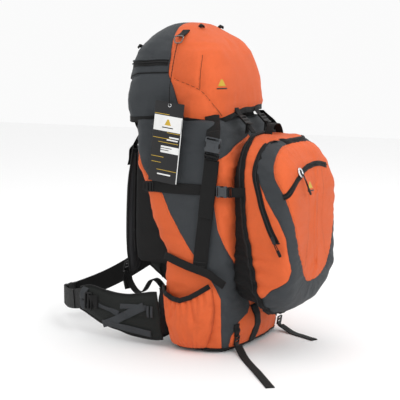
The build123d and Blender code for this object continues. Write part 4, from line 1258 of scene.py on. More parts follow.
class BACKPACK_OT_daypack(BuildStep, bpy.types.Operator):
    """Build the daypack with its gusset, slate flame, front panel, zips, grommet and handle"""

    bl_idname = "backpack.daypack"
    bl_label = "Detachable daypack"

    COUNTS = (14, 10, 34)
    LAST = 354.0

    def execute(self, context):
        shares = np.arange(0, 1, 1 / 260)
        columns, marks, places = [], [], []
        for s in shares:
            rim = day_rim(s)
            rear = max(day_look(BAND_REAR, s), rim)
            front = max(day_look(BAND_FRONT, s), rear)
            column, mark, place = [], [], []
            for k, (start, stop) in enumerate(((rim, rear), (rear, front), (front, self.LAST))):
                for t in spread(self.COUNTS[k])[:-1]:
                    q = start + (stop - start) * t
                    column.append(day_point(s, q))
                    mark.append((0, 1, 0)[k])
                    place.append((s, q, min(q - rim, abs(q - rear), abs(q - front))))
            column.append(day_point(s, self.LAST))
            place.append((s, self.LAST, 30.0))
            columns.append(column)
            marks.append(mark)
            places.append(place)
        points = np.array(columns).swapaxes(0, 1)
        places = np.array(places).swapaxes(0, 1)
        marks = np.array(marks).swapaxes(0, 1)
        outward = self.outward(points)
        points = points + self.relief(points, places)[..., None] * outward
        rear_rows, base = [], points[0]
        for inset, share in ((26, 1.0), (22, 0.75), (17, 0.4), (9, 0.12)):
            ring = base.copy()
            away = ring - (0, 0, 290)
            away[:, 1] = 0
            ring -= unit(away) * inset
            ring[:, 1] = base[:, 1] + (-84.5 - base[:, 1]) * share
            rear_rows.append(ring)
        middle = np.array([0, -84.5, 290.0])
        closing = [middle + (rear_rows[0] - middle) * share for share in (0.02, 0.5)]
        full = np.concatenate([closing, rear_rows, points])
        back = [[2] * points.shape[1]] * 6
        mesh = grid_mesh("daypack", full, np.array(back + list(marks)), closed=True)
        bm = bmesh.new()
        bm.from_mesh(mesh)
        bmesh.ops.holes_fill(bm, edges=[e for e in bm.edges if e.is_boundary], sides=0)
        bmesh.ops.recalc_face_normals(bm, faces=bm.faces)
        bm.to_mesh(mesh)
        bm.free()
        obj = as_object("daypack_cloth", mesh, [orange_cloth(), slate_cloth(), black_cloth()], "daypack")
        co = coordinates(mesh)
        held = np.clip((co[:, 1] + 112) / 12, 0, 1)
        billow(obj, held, pressure=1.6, frames=10, cap=3.0)
        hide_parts("daypack_shell", "daypack_panel")
        SURFACES["daypack"] = Surface(obj.data)
        self.rim_zip()
        self.main_zip()
        self.pocket_zip()
        self.seams()
        self.handle()
        self.grommet()
        return {"FINISHED"}

    def outward(self, points):
        normals = grid_normals(points, closed=True)
        away = points - (0, -110, 290)
        normals[(normals * away).sum(-1) < 0] *= -1
        normals[-1] = (0, -1, 0)
        return normals

    def relief(self, points, places):
        seed = bpy.context.scene.backpack_sizes.fold_seed + 40
        s, q, seam = places[..., 0], places[..., 1], places[..., 2]
        gusset = np.clip((210 - q) / 40, 0, 1)
        crown = -2.2 * np.clip((q - 262) / 60, 0, 1) + 1.0
        folds = noise_at(points, (50, 50, 22), seed) * 2.4 + noise_at(points, (18, 18, 46), seed + 2) * 1.3
        low = np.clip((330 - points[..., 2]) / 120, 0, 1)
        cross = np.sin(points[..., 2] * 0.21 + 2.5 * noise_at(points, (30, 60, 60), seed + 6)) * gusset * low * 2.2
        tight = np.exp(-seam / 12) * np.sin(s * 2 * math.pi * 62 + 3 * noise_at(points, (60, 60, 40), seed)) * 0.6
        groove = -1.6 * np.exp(-(seam / 2.2) ** 2)
        quiet = np.clip((354 - q) / 30, 0, 1)
        return (crown + folds + cross + tight) * quiet + groove

    def course(self, line, lift=0.8, q_shift=0.0):
        points = np.array([day_point(s % 1.0, q + q_shift) for s, q in line])
        outs = []
        for s, q in line:
            a = np.clip((q - DAY_EDGE) / DAY_EDGE_R, 0, math.pi / 2)
            inner = day_point(s % 1.0, q) - (0, -100, 290)
            inner[1] = 0
            outs.append(unit(inner) * math.cos(a) + np.array([0, -1, 0]) * math.sin(a))
        return SURFACES["daypack"].lay(points, lift, unit(outs), 30)

    def rim_zip(self):
        line = [(s, day_rim(s) + 3) for s in np.linspace(0, 1, 261)]
        points, normals = self.course(line, 0.9)
        across = unit(np.cross(tangents(points), normals))
        parts = [(strap_mesh("tape", points, normals, 17, 1.6), None, 0),
                 (tube_mesh("coil", points + across * 2 + normals * 1.0, 1.6, sides=6), None, 1),
                 (tube_mesh("piping", points - across * 8.5, 2.1), None, 0),
                 (stitches("teeth", points + across * 2 + normals * 1.9, normals, 2.2, 1.0, 3.6, 0.6), None, 1)]
        obj = as_object("daypack_rim_tape", joined("daypack_rim_tape", parts),
                        [zip_tape(), moulded("nylon_coil", (0.02, 0.02, 0.021, 1), 0.35)], "daypack")
        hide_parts("daypack_rim_zip")

    def main_zip(self):
        near = [(s, day_look(DAY_ZIP, s)) for s in np.linspace(0.268, 0.0, 90)]
        far = [((1 - s) % 1.0, day_look(DAY_ZIP, s)) for s in np.linspace(0.003, 0.268, 90)]
        points, normals = self.course(near + far, 0.9)
        points = np.array([np.convolve(np.pad(points[:, k], 3, mode="edge"), np.ones(7) / 7, "valid")
                           for k in range(3)]).T
        parts = [(strap_mesh("tape", points, normals, 15, 1.4), None, 0),
                 (tube_mesh("coil", points + normals * 0.9, 1.5, sides=6), None, 1),
                 (stitches("teeth", points + normals * 1.8, normals, 2.2, 1.0, 3.4, 0.6), None, 1)]
        for end in (0, -1):
            parts.append((rounded_bar(9, 3, 16, 1), place((1, 0, 0), (0, 0, 1), points[end]), 0))
        obj = as_object("daypack_main_zip_tape", joined("daypack_main_zip_tape", parts),
                        [zip_tape(), moulded("nylon_coil", (0.02, 0.02, 0.021, 1), 0.35)], "daypack")
        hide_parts("daypack_main_zip")

    def pocket_zip(self):
        line = smooth_line([(x, -230, z) for x, z in POCKET_ZIP], 4)
        points, normals = SURFACES["daypack"].lay(line, 0.8, (0.0, -1.0, 0.0), 40)
        parts = [(strap_mesh("tape", points, normals, 13, 1.3), None, 0),
                 (tube_mesh("coil", points + normals * 0.9, 1.4, sides=6), None, 1),
                 (stitches("teeth", points + normals * 1.7, normals, 2.2, 1.0, 3.2, 0.6), None, 1)]
        obj = as_object("daypack_pocket_zip_tape", joined("daypack_pocket_zip_tape", parts),
                        [zip_tape(), moulded("nylon_coil", (0.02, 0.02, 0.021, 1), 0.35)], "daypack")
        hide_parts("pocket_zip")

    def seams(self):
        dark = thread("dark_thread", (0.03, 0.022, 0.018, 1))
        parts = []
        for line, beside in ((BAND_REAR, 3.0), (BAND_FRONT, 3.0), (BAND_FRONT, 6.0)):
            for flip in (False, True):
                course = [(1 - s if flip else s, max(day_look(line, s), day_rim(s)) + beside)
                          for s in np.linspace(0.06, 0.498, 200)]
                points, normals = self.course(course, 0.1)
                parts.append((stitches("stitch", points, normals, 3.4, 2.4, 0.45), None, 0))
        for side in (-1, 1):
            line = smooth_line([(side * 52, -240, 425), (side * 40, -240, 380), (side * 36, -240, 320),
                                (side * 44, -240, 260), (side * 62, -240, 205)], 3)
            points, normals = SURFACES["daypack"].lay(line, 0.1, (0.0, -1.0, 0.0), 30)
            parts.append((stitches("stitch", points, normals, 3.4, 2.4, 0.45), None, 0))
            parts.append((stitches("stitch", points + (side * 3, 0, 0), normals, 3.4, 2.4, 0.45), None, 0))
        as_object("daypack_topstitch", joined("daypack_topstitch", parts), [dark], "daypack")

    def handle(self):
        low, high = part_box("daypack_handle")
        low, high = np.array(low) / MM, np.array(high) / MM
        mid = (low + high) / 2
        half = (high[0] - low[0]) / 2 - 2
        line = smooth_line([(-half, mid[1], low[2] + 1), (-half * 0.86, mid[1], low[2] + 10),
                            (-half * 0.5, mid[1], high[2] - 4), (0, mid[1], high[2] - 1.5),
                            (half * 0.5, mid[1], high[2] - 4), (half * 0.86, mid[1], low[2] + 10),
                            (half, mid[1], low[2] + 1)], 2)
        outward = unit(line - (0, mid[1], low[2] - 30))
        parts = [(strap_mesh("loop", line, outward, 19, 1.8), None, 0)]
        across = np.array([0, 1, 0])
        for row in (-7.5, 7.5):
            parts.append((stitches("stitch", line + across * row + outward * 0.9, outward, 3.0, 2.0), None, 1))
        obj = as_object("daypack_grab_loop", joined("daypack_grab_loop", parts),
                        [black_webbing(), thread("black_thread", (0.02, 0.02, 0.02, 1))], "daypack")
        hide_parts("daypack_handle")

    def grommet(self):
        surface_mark("daypack_mark", SURFACES["daypack"], (-34, -270, 388), (-0.1, -1.0, 0.0), "daypack")
        low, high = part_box("cable_grommet")
        centre = (np.array(low) + np.array(high)) / 2 / MM
        spin = [(11.5, -1.5), (12, 0.2), (11.2, 1.6), (9.4, 2.4), (7.6, 1.8), (6.6, 0.4), (6.4, -1.5)]
        rings = [[(r * math.cos(a), r * math.sin(a), h) for r, h in spin]
                 for a in np.linspace(0, 2 * math.pi, 49)[:-1]]
        points, normals = SURFACES["daypack"].lay([centre], 2.6, (0.0, -1.0, 0.0), 60)
        out = Vector(normals[0])
        side = Vector((1, 0, 0)) - out * out.x
        matrix = place(side, out.cross(side), points[0])
        ring = grid_mesh("ring", np.array(rings).swapaxes(0, 1), closed=True)
        disc = plate_mesh("rubber", [circle_loop(8.4, 32)], 1.4, 0.3)
        slots = [rounded_bar(9.5, 0.7, 1.4, 0.2) for _ in range(2)]
        parts = [(ring, matrix, 0), (disc, matrix, 1), (slots[0], matrix @ Matrix.Rotation(0.8, 4, "Z"), 2),
                 (slots[1], matrix @ Matrix.Rotation(-0.8, 4, "Z"), 2)]
        obj = as_object("daypack_grommet", joined("daypack_grommet", parts),
                        [moulded("chrome_plate", (0.7, 0.7, 0.71, 1), 0.18, 1.0, dust=0.02), black_plastic(),
                         black_cloth()], "daypack")
        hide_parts("cable_grommet")


def surface_mark(name, surface, spot, out, body):
    """A plain printed sign: a yellow peak over a dark bar, lying on a curved face."""
    points, normals = surface.lay([spot], 0.0, unit(np.array([out])), 60)
    normal = normals[0]
    side = unit(np.cross((0, 0, 1.0), normal))
    up = np.cross(normal, side)
    parts = []
    for k, (low, high, foot, head) in enumerate(((1.5, 17.0, 11.5, 2.5), (-5.5, -2.5, 15.0, 15.0))):
        rows = []
        for t in np.linspace(0, 1, 9):
            half = foot + (head - foot) * t
            across = np.linspace(-half, half, 13)[:, None]
            line = points[0] + side * across + up * (low + (high - low) * t)
            laid, _ = surface.lay(line, 0.35, np.tile(normal, (len(line), 1)), 40)
            rows.append(laid)
        parts.append((grid_mesh("ink", np.array(rows)), None, k))
    obj = as_object(name, joined(name, parts), [printed("yellow_ink", colour("gold")),
                                                printed("dark_ink", (0.02, 0.02, 0.02, 1))], body)
    thicken = obj.modifiers.new("ink", "SOLIDIFY")
    thicken.thickness = 0.3 * MM


# ---------------------------------------------------------------- pockets
POCKET_EDGE = [(0.0, 86, 150), (0.14, 74, 139), (0.32, 50, 128), (0.5, 27, 126), (0.68, 3, 135), (0.84, -19, 148),
               (1.0, -42, 164)]


class BACKPACK_OT_side_pockets(BuildStep, bpy.types.Operator):
    """Sew the two gathered side pockets with their elastic top bindings"""

    bl_idname = "backpack.side_pockets"
    bl_label = "Side pockets"

    def execute(self, context):
        edges = []
        for side, sign in (("left", -1), ("right", 1)):
            edges.append(self.pocket(side, sign))
        parts = [(strap_mesh("edge", line, normals, 12, 3.4), None, 0) for line, normals in edges]
        parts += [(stitches("stitch", line + normals * 1.1 + (0, 0, 3.2), normals, 3.0, 2.1), None, 1)
                  for line, normals in edges]
        obj = as_object("pocket_elastic", joined("pocket_elastic", parts),
                        [zip_tape(), thread("black_thread", (0.02, 0.02, 0.02, 1))], "pack")
        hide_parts("pocket_bindings")
        return {"FINISHED"}

    def pocket(self, side, sign):
        across, tall = 60, 40
        seed = bpy.context.scene.backpack_sizes.fold_seed + (60 if sign < 0 else 70)
        rows = []
        for j in range(tall + 1):
            b = j / tall
            row = []
            for i in range(across + 1):
                t = i / across
                top_y, top_z = (np.interp(t, [e[0] for e in POCKET_EDGE], [e[k] for e in POCKET_EDGE]) for k in (1, 2))
                foot_y = 62 - 90 * t
                foot_z = 7 + 5 * (2 * t - 1) ** 2
                y = foot_y + (top_y - foot_y) * b ** 0.8 - (20 * t - 5) * math.sin(math.pi * b) ** 0.8
                z = foot_z + (top_z - foot_z) * b
                round_side = math.sin(math.pi * t) ** 0.45 if 0 < t < 1 else 0.0
                belly = math.sin(math.pi * min(b, 0.62) / 1.24) ** 0.42 if b > 0 else 0.0
                mouth = 1 - 0.40 * max(b - 0.45, 0) / 0.55
                depth = 35 * round_side * belly * mouth
                gather = math.sin(2 * math.pi * 10 * t + 2.0 * noise.noise(Vector((t * 5, b * 2, seed))))
                depth += round_side * gather * (3.2 * math.exp(-(1 - b) / 0.22) + 2.0 * math.exp(-b / 0.14))
                vee = math.exp(-((t - 0.45 + 0.5 * (1 - b)) / 0.05) ** 2)
                vee += math.exp(-((t - 0.6 - 0.25 * (1 - b)) / 0.05) ** 2)
                folds = 5.0 * noise.noise(Vector((t * 6, b * 3.4, seed)))
                depth += round_side * belly * (folds - 14 * vee * b * (1 - b))
                row.append((sign * (149.3 + max(depth, 0)), y, z))
            rows.append(row)
        points = np.array(rows)
        mesh = grid_mesh("pocket", points)
        obj = as_object(f"pocket_cloth_{side}", mesh, [orange_cloth()], "pack")
        co = coordinates(mesh)
        held = np.clip((152.5 - np.abs(co[:, 0])) / 2, 0, 1)
        held = np.maximum(held, np.clip((co[:, 2] - 128) / 10, 0, 1) * 0.9)
        billow(obj, held, pressure=1.6, frames=12, cap=3.5, shrink=0.02)
        thicken = obj.modifiers.new("cloth", "SOLIDIFY")
        thicken.thickness = size("cloth") * MM
        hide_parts(f"side_pocket_{side}")
        edge = points[-1]
        tree = Surface(obj.data)
        outward = np.tile((sign, 0, 0), (len(edge), 1)).astype(float)
        line, normals = tree.lay(edge - (0, 0, 4.5), 2.6, outward, 60)
        line[:, 2], line[:, 1] = edge[:, 2] - 2, edge[:, 1]
        line[:, 0] = np.convolve(np.pad(line[:, 0], 3, mode="edge"), np.ones(7) / 7, "valid")
        normals[:, 2] *= 0.2
        return line, unit(normals)


# ---------------------------------------------------------------- padding
def pad_mesh(name, line, across, normals, widths, thicks, lip=3.0, rim=0.86, channel=0.0, cells=0.0, back=0.35):
    """A foam pad with a bound lip: crowned on its face, flatter behind, with a sewn channel if wanted."""
    line = np.asarray(line, float)
    count = 26
    vs = np.r_[-1, -0.97, np.linspace(-0.9, 0.9, count), 0.97, 1]
    run = np.r_[0, np.linalg.norm(np.diff(line, axis=0), axis=1).cumsum()]
    face, rear = [], []
    for v in vs:
        crown = max(1 - abs(v / rim) ** 3.2, 0) ** 0.55 if abs(v) < rim else 0.0
        crown *= 1 - channel * math.exp(-(v / 0.09) ** 2)
        ends = np.clip(np.minimum(run, run[-1] - run) / 16, 0, 1) ** 0.5
        high = lip / 2 + (thicks - lip) * crown * ends
        if cells:
            high = high - crown * 2.2 * np.exp(-((((run + cells / 2) % cells) - cells / 2) / 3.0) ** 2)
        face.append(line + across * (widths / 2)[:, None] * v + normals * high[:, None])
        rear.append(line + across * (widths / 2)[:, None] * v
                    - normals * (lip / 2 + (thicks - lip) * crown * ends * back)[:, None])
    ring = np.stack(face + rear[::-1], 1)
    middle = [ring[k:k + 1].mean(1, keepdims=True).repeat(ring.shape[1], 1) for k in (0, -1)]
    runs_u = np.r_[0, run, run[-1]] * MM
    runs_v = np.r_[vs, vs[::-1], vs[:1]] * float(widths.max()) / 2 * MM
    runs = np.stack(np.broadcast_arrays(runs_u[:, None], runs_v[None, :]), -1)
    return grid_mesh(name, np.concatenate([middle[0], ring, middle[1]]), closed=True, runs=runs)


def edge_tapes(line, across, normals, widths, thick=3.6):
    """Folded binding round both long edges of a pad."""
    parts = []
    for sign in (-1, 1):
        edge = line + across * (widths / 2)[:, None] * sign
        parts.append((tube_mesh("edge", edge, 2.6, sides=10), None, 0))
        inner = line + across * (widths / 2 - 6)[:, None] * sign + normals * thick / 2
        parts.append((stitches("stitch", inner, normals, 3.2, 2.2), None, 1))
    return parts


def padding(name, line, across, normals, widths, thicks, body, slot, material, replace, fill=0.8, **options):
    line, across, normals = (np.asarray(v, float) for v in (line, across, normals))
    widths, thicks = (np.broadcast_to(np.asarray(v, float), (len(line),)).copy() for v in (widths, thicks))
    across = np.broadcast_to(across, line.shape)
    normals = np.broadcast_to(normals, line.shape)
    mesh = pad_mesh(name, line, across, normals, widths, thicks, **options)
    obj = as_object(name, mesh, [material], body)
    co = coordinates(mesh)
    offset = np.array([np.abs((p - line[k]) @ across[k]) / (widths[k] / 2)
                       for p in co for k in (int(np.argmin(((line - p) ** 2).sum(1))),)])
    billow(obj, np.clip((offset - 0.8) / 0.08, 0, 1), pressure=2.5, frames=10, cap=2.2)
    if replace:
        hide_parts(*replace)
    tape = as_object(f"{name}_binding", joined("binding", edge_tapes(line, across, normals, widths)),
                     [zip_tape(), thread("black_thread", (0.02, 0.02, 0.02, 1))], body)
    return obj, tape


class BACKPACK_OT_back_padding(BuildStep, bpy.types.Operator):
    """Pad the back: two ribbed columns, the sleeve between them and the lumbar pad"""

    bl_idname = "backpack.back_padding"
    bl_label = "Back padding"

    def execute(self, context):
        # the padding colour is the painted shade of the mesh's holes
        mesh = mesh_cloth("spacer_mesh_black", colour("padding"), (0.03, 0.03, 0.032, 1))
        rings, rear = [], [(195, 176), (201, 186), (240, 190), (300, 190), (400, 187), (462, 184), (471, 178)]
        for z in np.r_[195, 197, 200, 204, np.arange(210, 462, 6.0), 464, 467, 470, 471.5]:
            back_y, front_y = table(rear, z)[0], table(BAG_REAR, z)[0] + 1.0
            plan = (119.0 - (2 if z < 201 or z > 465 else 0), min(front_y, back_y - 5), back_y, 11.0, 2.0)
            half = plan_lengths(*plan)[1]
            near = [(*rounded_plan(u, *plan), z) for u in np.linspace(0, half, 60)]
            rings.append(near + [(-x, y, z) for x, y, z in near[-2:0:-1]])
        rings = np.array(rings)
        ends = [np.tile(rings[k].mean(0), (rings.shape[1], 1))[None] for k in (0, -1)]
        sleeve = grid_mesh("sleeve", np.concatenate([ends[0], rings, ends[1]]), closed=True)
        line = smooth_line([(0, 187, 206), (0, 190.5, 245), (0, 190.5, 300), (0, 187.5, 400), (0, 184.5, 464)], 5)
        normals = unit(np.cross((1, 0, 0), tangents(line)))
        normals[normals[:, 1] < 0] *= -1
        obj = as_object("back_sleeve", sleeve, [black_cloth()], "pack")
        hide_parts("back_panel")
        for name, x in (("left", -66), ("right", 66)):
            padding(f"back_column_{name}", line[2:-2] + (x, 0, 0) + normals[2:-2] * 3.2, (1, 0, 0), normals[2:-2], 92,
                    9.5, "pack", "pad_fabric", mesh, (), cells=52, back=0.1, lip=2.4)
        count = 41
        across = np.array([[0, 0, 1.0]] * count)
        xs = np.linspace(-147, 147, count)
        lumbar = np.stack([xs, 103 - 4 * (xs / 147) ** 2, np.full(count, 79.0)], 1)
        lumbar_normals = unit(np.stack([8 * xs / 147**2, np.ones(count), np.zeros(count)], 1))
        padding("lumbar_cushion", lumbar, across, lumbar_normals, 120, 15, "pack", "pad_fabric", mesh,
                ("lumbar_pad",), cells=73, back=0.8, channel=0.25)
        return {"FINISHED"}


class BACKPACK_OT_shoulder_straps(BuildStep, bpy.types.Operator):
    """Build the padded shoulder straps with their webbing, load lifters, sternum strap and haul loop"""

    bl_idname = "backpack.shoulder_straps"
    bl_label = "Shoulder straps"

    def execute(self, context):
        # the padding colour is the painted shade of the mesh's holes
        mesh = mesh_cloth("spacer_mesh_black", colour("padding"), (0.03, 0.03, 0.032, 1))
        stitch = thread("black_thread", (0.02, 0.02, 0.02, 1))
        web = size("webbing")
        for side, sign in (("left", -1), ("right", 1)):
            x = sign * 80
            line = smooth_line([(x, 197.5, 467), (x, 202, 430), (x, 207.5, 380), (x, 212, 300), (x, 213.5, 220),
                                (x, 213.5, 190), (x, 217, 158)], 5)
            normals = unit(np.cross((1, 0, 0), tangents(line)))
            normals[normals[:, 1] < 0] *= -1
            t = np.linspace(0, 1, len(line))
            widths = np.interp(t, [0, 0.08, 0.2, 0.8, 0.93, 1], [58, 64, 70, 68, 54, 34])
            thicks = np.interp(t, [0, 0.1, 0.3, 0.7, 0.9, 1], [8, 13, 17, 17, 13, 8])
            padding(f"shoulder_pad_{side}", line, (1, 0, 0), normals, widths, thicks, "pack", "pad_fabric", mesh,
                    (f"shoulder_strap_{side}",), channel=0.3, back=0.8)
            face = smooth_line([(x, 209, 462), (x, 217, 400), (x, 225.5, 320), (x, 228, 250), (x, 226.5, 185)], 6)
            face_normals = unit(np.cross((1, 0, 0), tangents(face)))
            face_normals[face_normals[:, 1] < 0] *= -1
            parts = [(strap_mesh("daisy", face + face_normals * 1.6, face_normals, 20, web), None, 0)]
            for k in range(8, len(face) - 4, 7):
                bar = face[k] + face_normals[k] * 2.8
                parts.append((rounded_bar(18, 2.2, 1.2, 0.5), place((1, 0, 0), tangents(face)[k], bar), 1))
            as_object(f"shoulder_daisy_chain_{side}", joined("daisy", parts), [black_webbing(), stitch], "pack")
            loop = smooth_line([(x, 236, 160), (x, 230, 130), (x, 209, 106), (x, 188, 111), (x, 167, 140),
                                (x, 148, 141), (x, 120, 112)], 3)
            out = unit(np.cross((1, 0, 0), tangents(loop)))
            parts = [(strap_mesh("web", loop, out, 25, web), None, 0)]
            tail = smooth_line([(x + sign * 2, 236, 158), (x + sign * 4, 240, 138), (x + sign * 6, 233, 112)], 3)
            out = unit(np.cross((1, 0, 0), tangents(tail)))
            parts.append((strap_mesh("tail", tail, out, 24, web), None, 0))
            for row in (-9, 0, 9):
                edge = loop[-8:] + (row, 0, 0)
                parts.append((stitches("stitch", edge, unit(np.cross((1, 0, 0), tangents(edge))), 3, 2), None, 1))
            obj = as_object(f"shoulder_web_{side}", joined("web", parts), [black_webbing(), stitch], "pack")
            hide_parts(f"shoulder_webbing_{side}")
        parts = []
        for x in (-80, 80):
            lifter = smooth_line([(x, 170, 524), (x, 184, 512), (x, 198, 495), (x, 211.5, 474)], 3)
            out = unit(np.cross((1, 0, 0), tangents(lifter)))
            parts.append((strap_mesh("web", lifter, out, 20, web), None, 0))
            tail = smooth_line([(x, 213, 473), (x, 222, 462), (x, 224, 440), (x, 228, 424)], 3)
            parts.append((strap_mesh("tail", tail, unit(np.cross((1, 0, 0), tangents(tail))), 20, web), None, 0))
        obj = as_object("load_lifter_web", joined("web", parts), [black_webbing()], "pack")
        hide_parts("load_lifters")
        self.sternum(stitch)
        self.haul_loop(stitch)
        return {"FINISHED"}

    def sternum(self, stitch):
        low, high = (np.array(v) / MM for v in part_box("sternum_strap"))
        y, z, wide = (low[1] + high[1]) / 2, (low[2] + high[2]) / 2, high[2] - low[2]
        xs = np.linspace(low[0], high[0], 60)
        line = np.stack([xs, y + 0.0 * xs, z - 1.5 * np.cos(xs / high[0] * 1.5)], 1)
        parts = [(strap_mesh("web", line, (0, 1, 0), wide, size("webbing")), None, 0)]
        for row in (-wide / 3, 0, wide / 3):
            for end in (slice(0, 8), slice(-8, None)):
                parts.append((stitches("stitch", line[end] + (0, 0.8, row), (0, 1, 0), 2.6, 1.8), None, 1))
        obj = as_object("sternum_web", joined("web", parts), [black_webbing(), stitch], "sternum")
        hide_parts("sternum_strap")

    def haul_loop(self, stitch):
        low, high = (np.array(v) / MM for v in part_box("haul_loop"))
        y, half = (low[1] + high[1]) / 2, high[0] - 3
        line = smooth_line([(-half, y, low[2] + 1), (-half, y, low[2] + 8), (-half * 0.82, y, high[2] - 7),
                            (-half * 0.4, y, high[2] - 3.5), (0, y, high[2] - 2.8), (half * 0.4, y, high[2] - 3.5),
                            (half * 0.82, y, high[2] - 7), (half, y, low[2] + 8), (half, y, low[2] + 1)], 2)
        out = unit(line - (0, y, low[2] - 20))
        run = np.linspace(-1, 1, len(line))
        parts = [(tube_mesh("grip", line, np.interp(np.abs(run), [0, 0.5, 1], [2.6, 2.4, 1.6]), sides=12,
                            up=(0, 1, 0)), None, 0),
                 (stitches("stitch", line + out * 2.2, out, 3, 2), None, 1)]
        obj = as_object("haul_grip", joined("grip", parts), [black_webbing(), stitch], "haul_loop")
        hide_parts("haul_loop")


# ---------------------------------------------------------------- moulded hardware
def female_buckle(wide):
    """The socket of a side release buckle: x runs from its mouth to its webbing bar, y across, z out of the bag."""
    half = wide / 2 + 4.5
    side = [(0, half * 0.9), (2.5, half), (8, half), (10.5, half - 3.4), (21, half - 3.4), (24, half),
            (31, half), (34, half - 2.5)]
    outline = side + [(x, -y) for x, y in reversed(side)]
    slot = rounded_loop(3.4, wide + 1.5, 1.2, 3, (29.4, 0))
    oval = rounded_loop(15, wide * 0.5, 4, 5, (13, 0))
    ridge = rounded_loop(2.0, wide * 0.86, 0.9, 3, (24.6, 0))
    return [(plate_mesh("socket", [outline, slot], 8.6, 1.6, 3), None, 0),
            (plate_mesh("socket_face", [oval], 10.2, 0.9, 3), None, 0),
            (plate_mesh("socket_ridge", [ridge], 10.4, 0.8, 2), None, 0)]


def male_buckle(wide):
    """The tongue of a side release buckle, its prongs in the socket's side windows; x runs from bar to prongs."""
    half = wide / 2 + 3.2
    side = [(-17, half - 2), (-14, half), (-5, half), (-1.5, half - 1.5)]
    outline = side + [(x, -y) for x, y in reversed(side)]
    slots = [rounded_loop(3.2, wide + 1, 1.1, 3, (-13.4, 0)), rounded_loop(2.6, wide + 1, 1.1, 3, (-8.2, 0))]
    parts = [(plate_mesh("tongue", [outline, *slots], 6.0, 1.3, 3), None, 0)]
    for sign in (-1, 1):
        prong = [(-2, half - 6.5), (9, half - 4.6), (12, half - 0.2), (14.5, half + 1.0), (20, half + 0.6),
                 (21.5, half - 3), (17, half - 6.4), (-2, half - 10)]
        parts.append((plate_mesh("prong", [[(x, y * sign) for x, y in prong][::sign]], 5.4, 1.2, 2), None, 0))
        for k in range(4):
            matrix = place((1, 0, 0), (0, 1, 0), (13.5 + 1.8 * k, sign * (half + 0.4), 0))
            parts.append((rounded_bar(0.8, 1.4, 5.0, 0.35, 1), matrix, 0))
    parts.append((rounded_bar(10, 4, 4, 1), place((1, 0, 0), (0, 1, 0), (3, 0, 0)), 0))
    return parts


def ladder_lock(wide):
    """A ladder lock: a frame with two slots and a lifted thumb tab; x runs along the strap."""
    half = wide / 2 + 3.6
    outline = rounded_loop(26, half * 2, 3, 4)
    slots = [rounded_loop(4.2, wide + 1.2, 1.5, 3, (-7.4, 0)), rounded_loop(4.2, wide + 1.2, 1.5, 3, (2.2, 0))]
    tab = rounded_loop(9, half * 1.5, 3, 4)
    lift = Matrix.Rotation(-0.5, 4, "Y")
    lift.translation = Vector((13.5, 0, 2.6)) * MM
    parts = [(plate_mesh("frame", [outline, *slots], 4.6, 1.1, 3), None, 0),
             (plate_mesh("tab", [tab], 3.0, 0.9, 2), lift, 0)]
    for k in range(3):
        matrix = lift @ place((1, 0, 0), (0, 1, 0), (-2 + 2.4 * k, 0, 1.6))
        parts.append((rounded_bar(0.8, half, 0.9, 0.35, 1), matrix, 0))
    return parts


def put(parts, matrix, mark=None):
    """The parts moved together to their place."""
    return [(mesh, matrix if own is None else matrix @ own, kind if mark is None else mark)
            for mesh, own, kind in parts]


def zip_slider(point, along, out):
    """A zip slider with its bridge, standing on a zip at a point."""
    base = rounded_loop(11, 8.2, 2.6, 4)
    matrix = place(along, np.cross(out, along), point)
    lift = Matrix.Translation((0, 0, 1.1 * MM))
    arch = smooth_line([(-4, 0, 1.6), (-3, 0, 4.0), (0, 0, 4.8), (3, 0, 4.0), (4, 0, 1.6)], 0.8)
    return [(plate_mesh("slider", [base], 2.6, 0.7, 2), matrix @ lift, 0),
            (tube_mesh("bridge", arch, 1.1, up=(0, 1, 0)), matrix, 0)]


def zip_pull(point, down, out, long=36.0):
    """A pull tab on a short looped tape with a moulded grip."""
    matrix = place(down, np.cross(out, down), point)
    tab = rounded_loop(14, 5.4, 1.8, 4, (6.5, 0))
    hole = rounded_loop(3.4, 2.6, 1.2, 3, (2.6, 0))
    cord = smooth_line([(11.5, -1.1, 0), (16, -1.8, 0.3), (long - 12, -2.0, 0)], 2)
    other = cord * (1, -1, 1)
    grip = rounded_loop(17, 7.4, 2.6, 4, (long - 5, 0))
    parts = [(plate_mesh("tab", [tab, hole], 1.5, 0.45, 2), matrix, 0),
             (tube_mesh("cord", cord, 1.1), matrix, 1), (tube_mesh("cord", other, 1.1), matrix, 1),
             (plate_mesh("grip", [grip], 3.2, 1.2, 3), matrix, 2)]
    for k in range(4):
        rib = matrix @ place((1, 0, 0), (0, 1, 0), (long - 9 + 2.6 * k, 0, 1.7))
        parts.append((rounded_bar(0.9, 5.4, 0.8, 0.3, 1), rib, 2))
    return parts


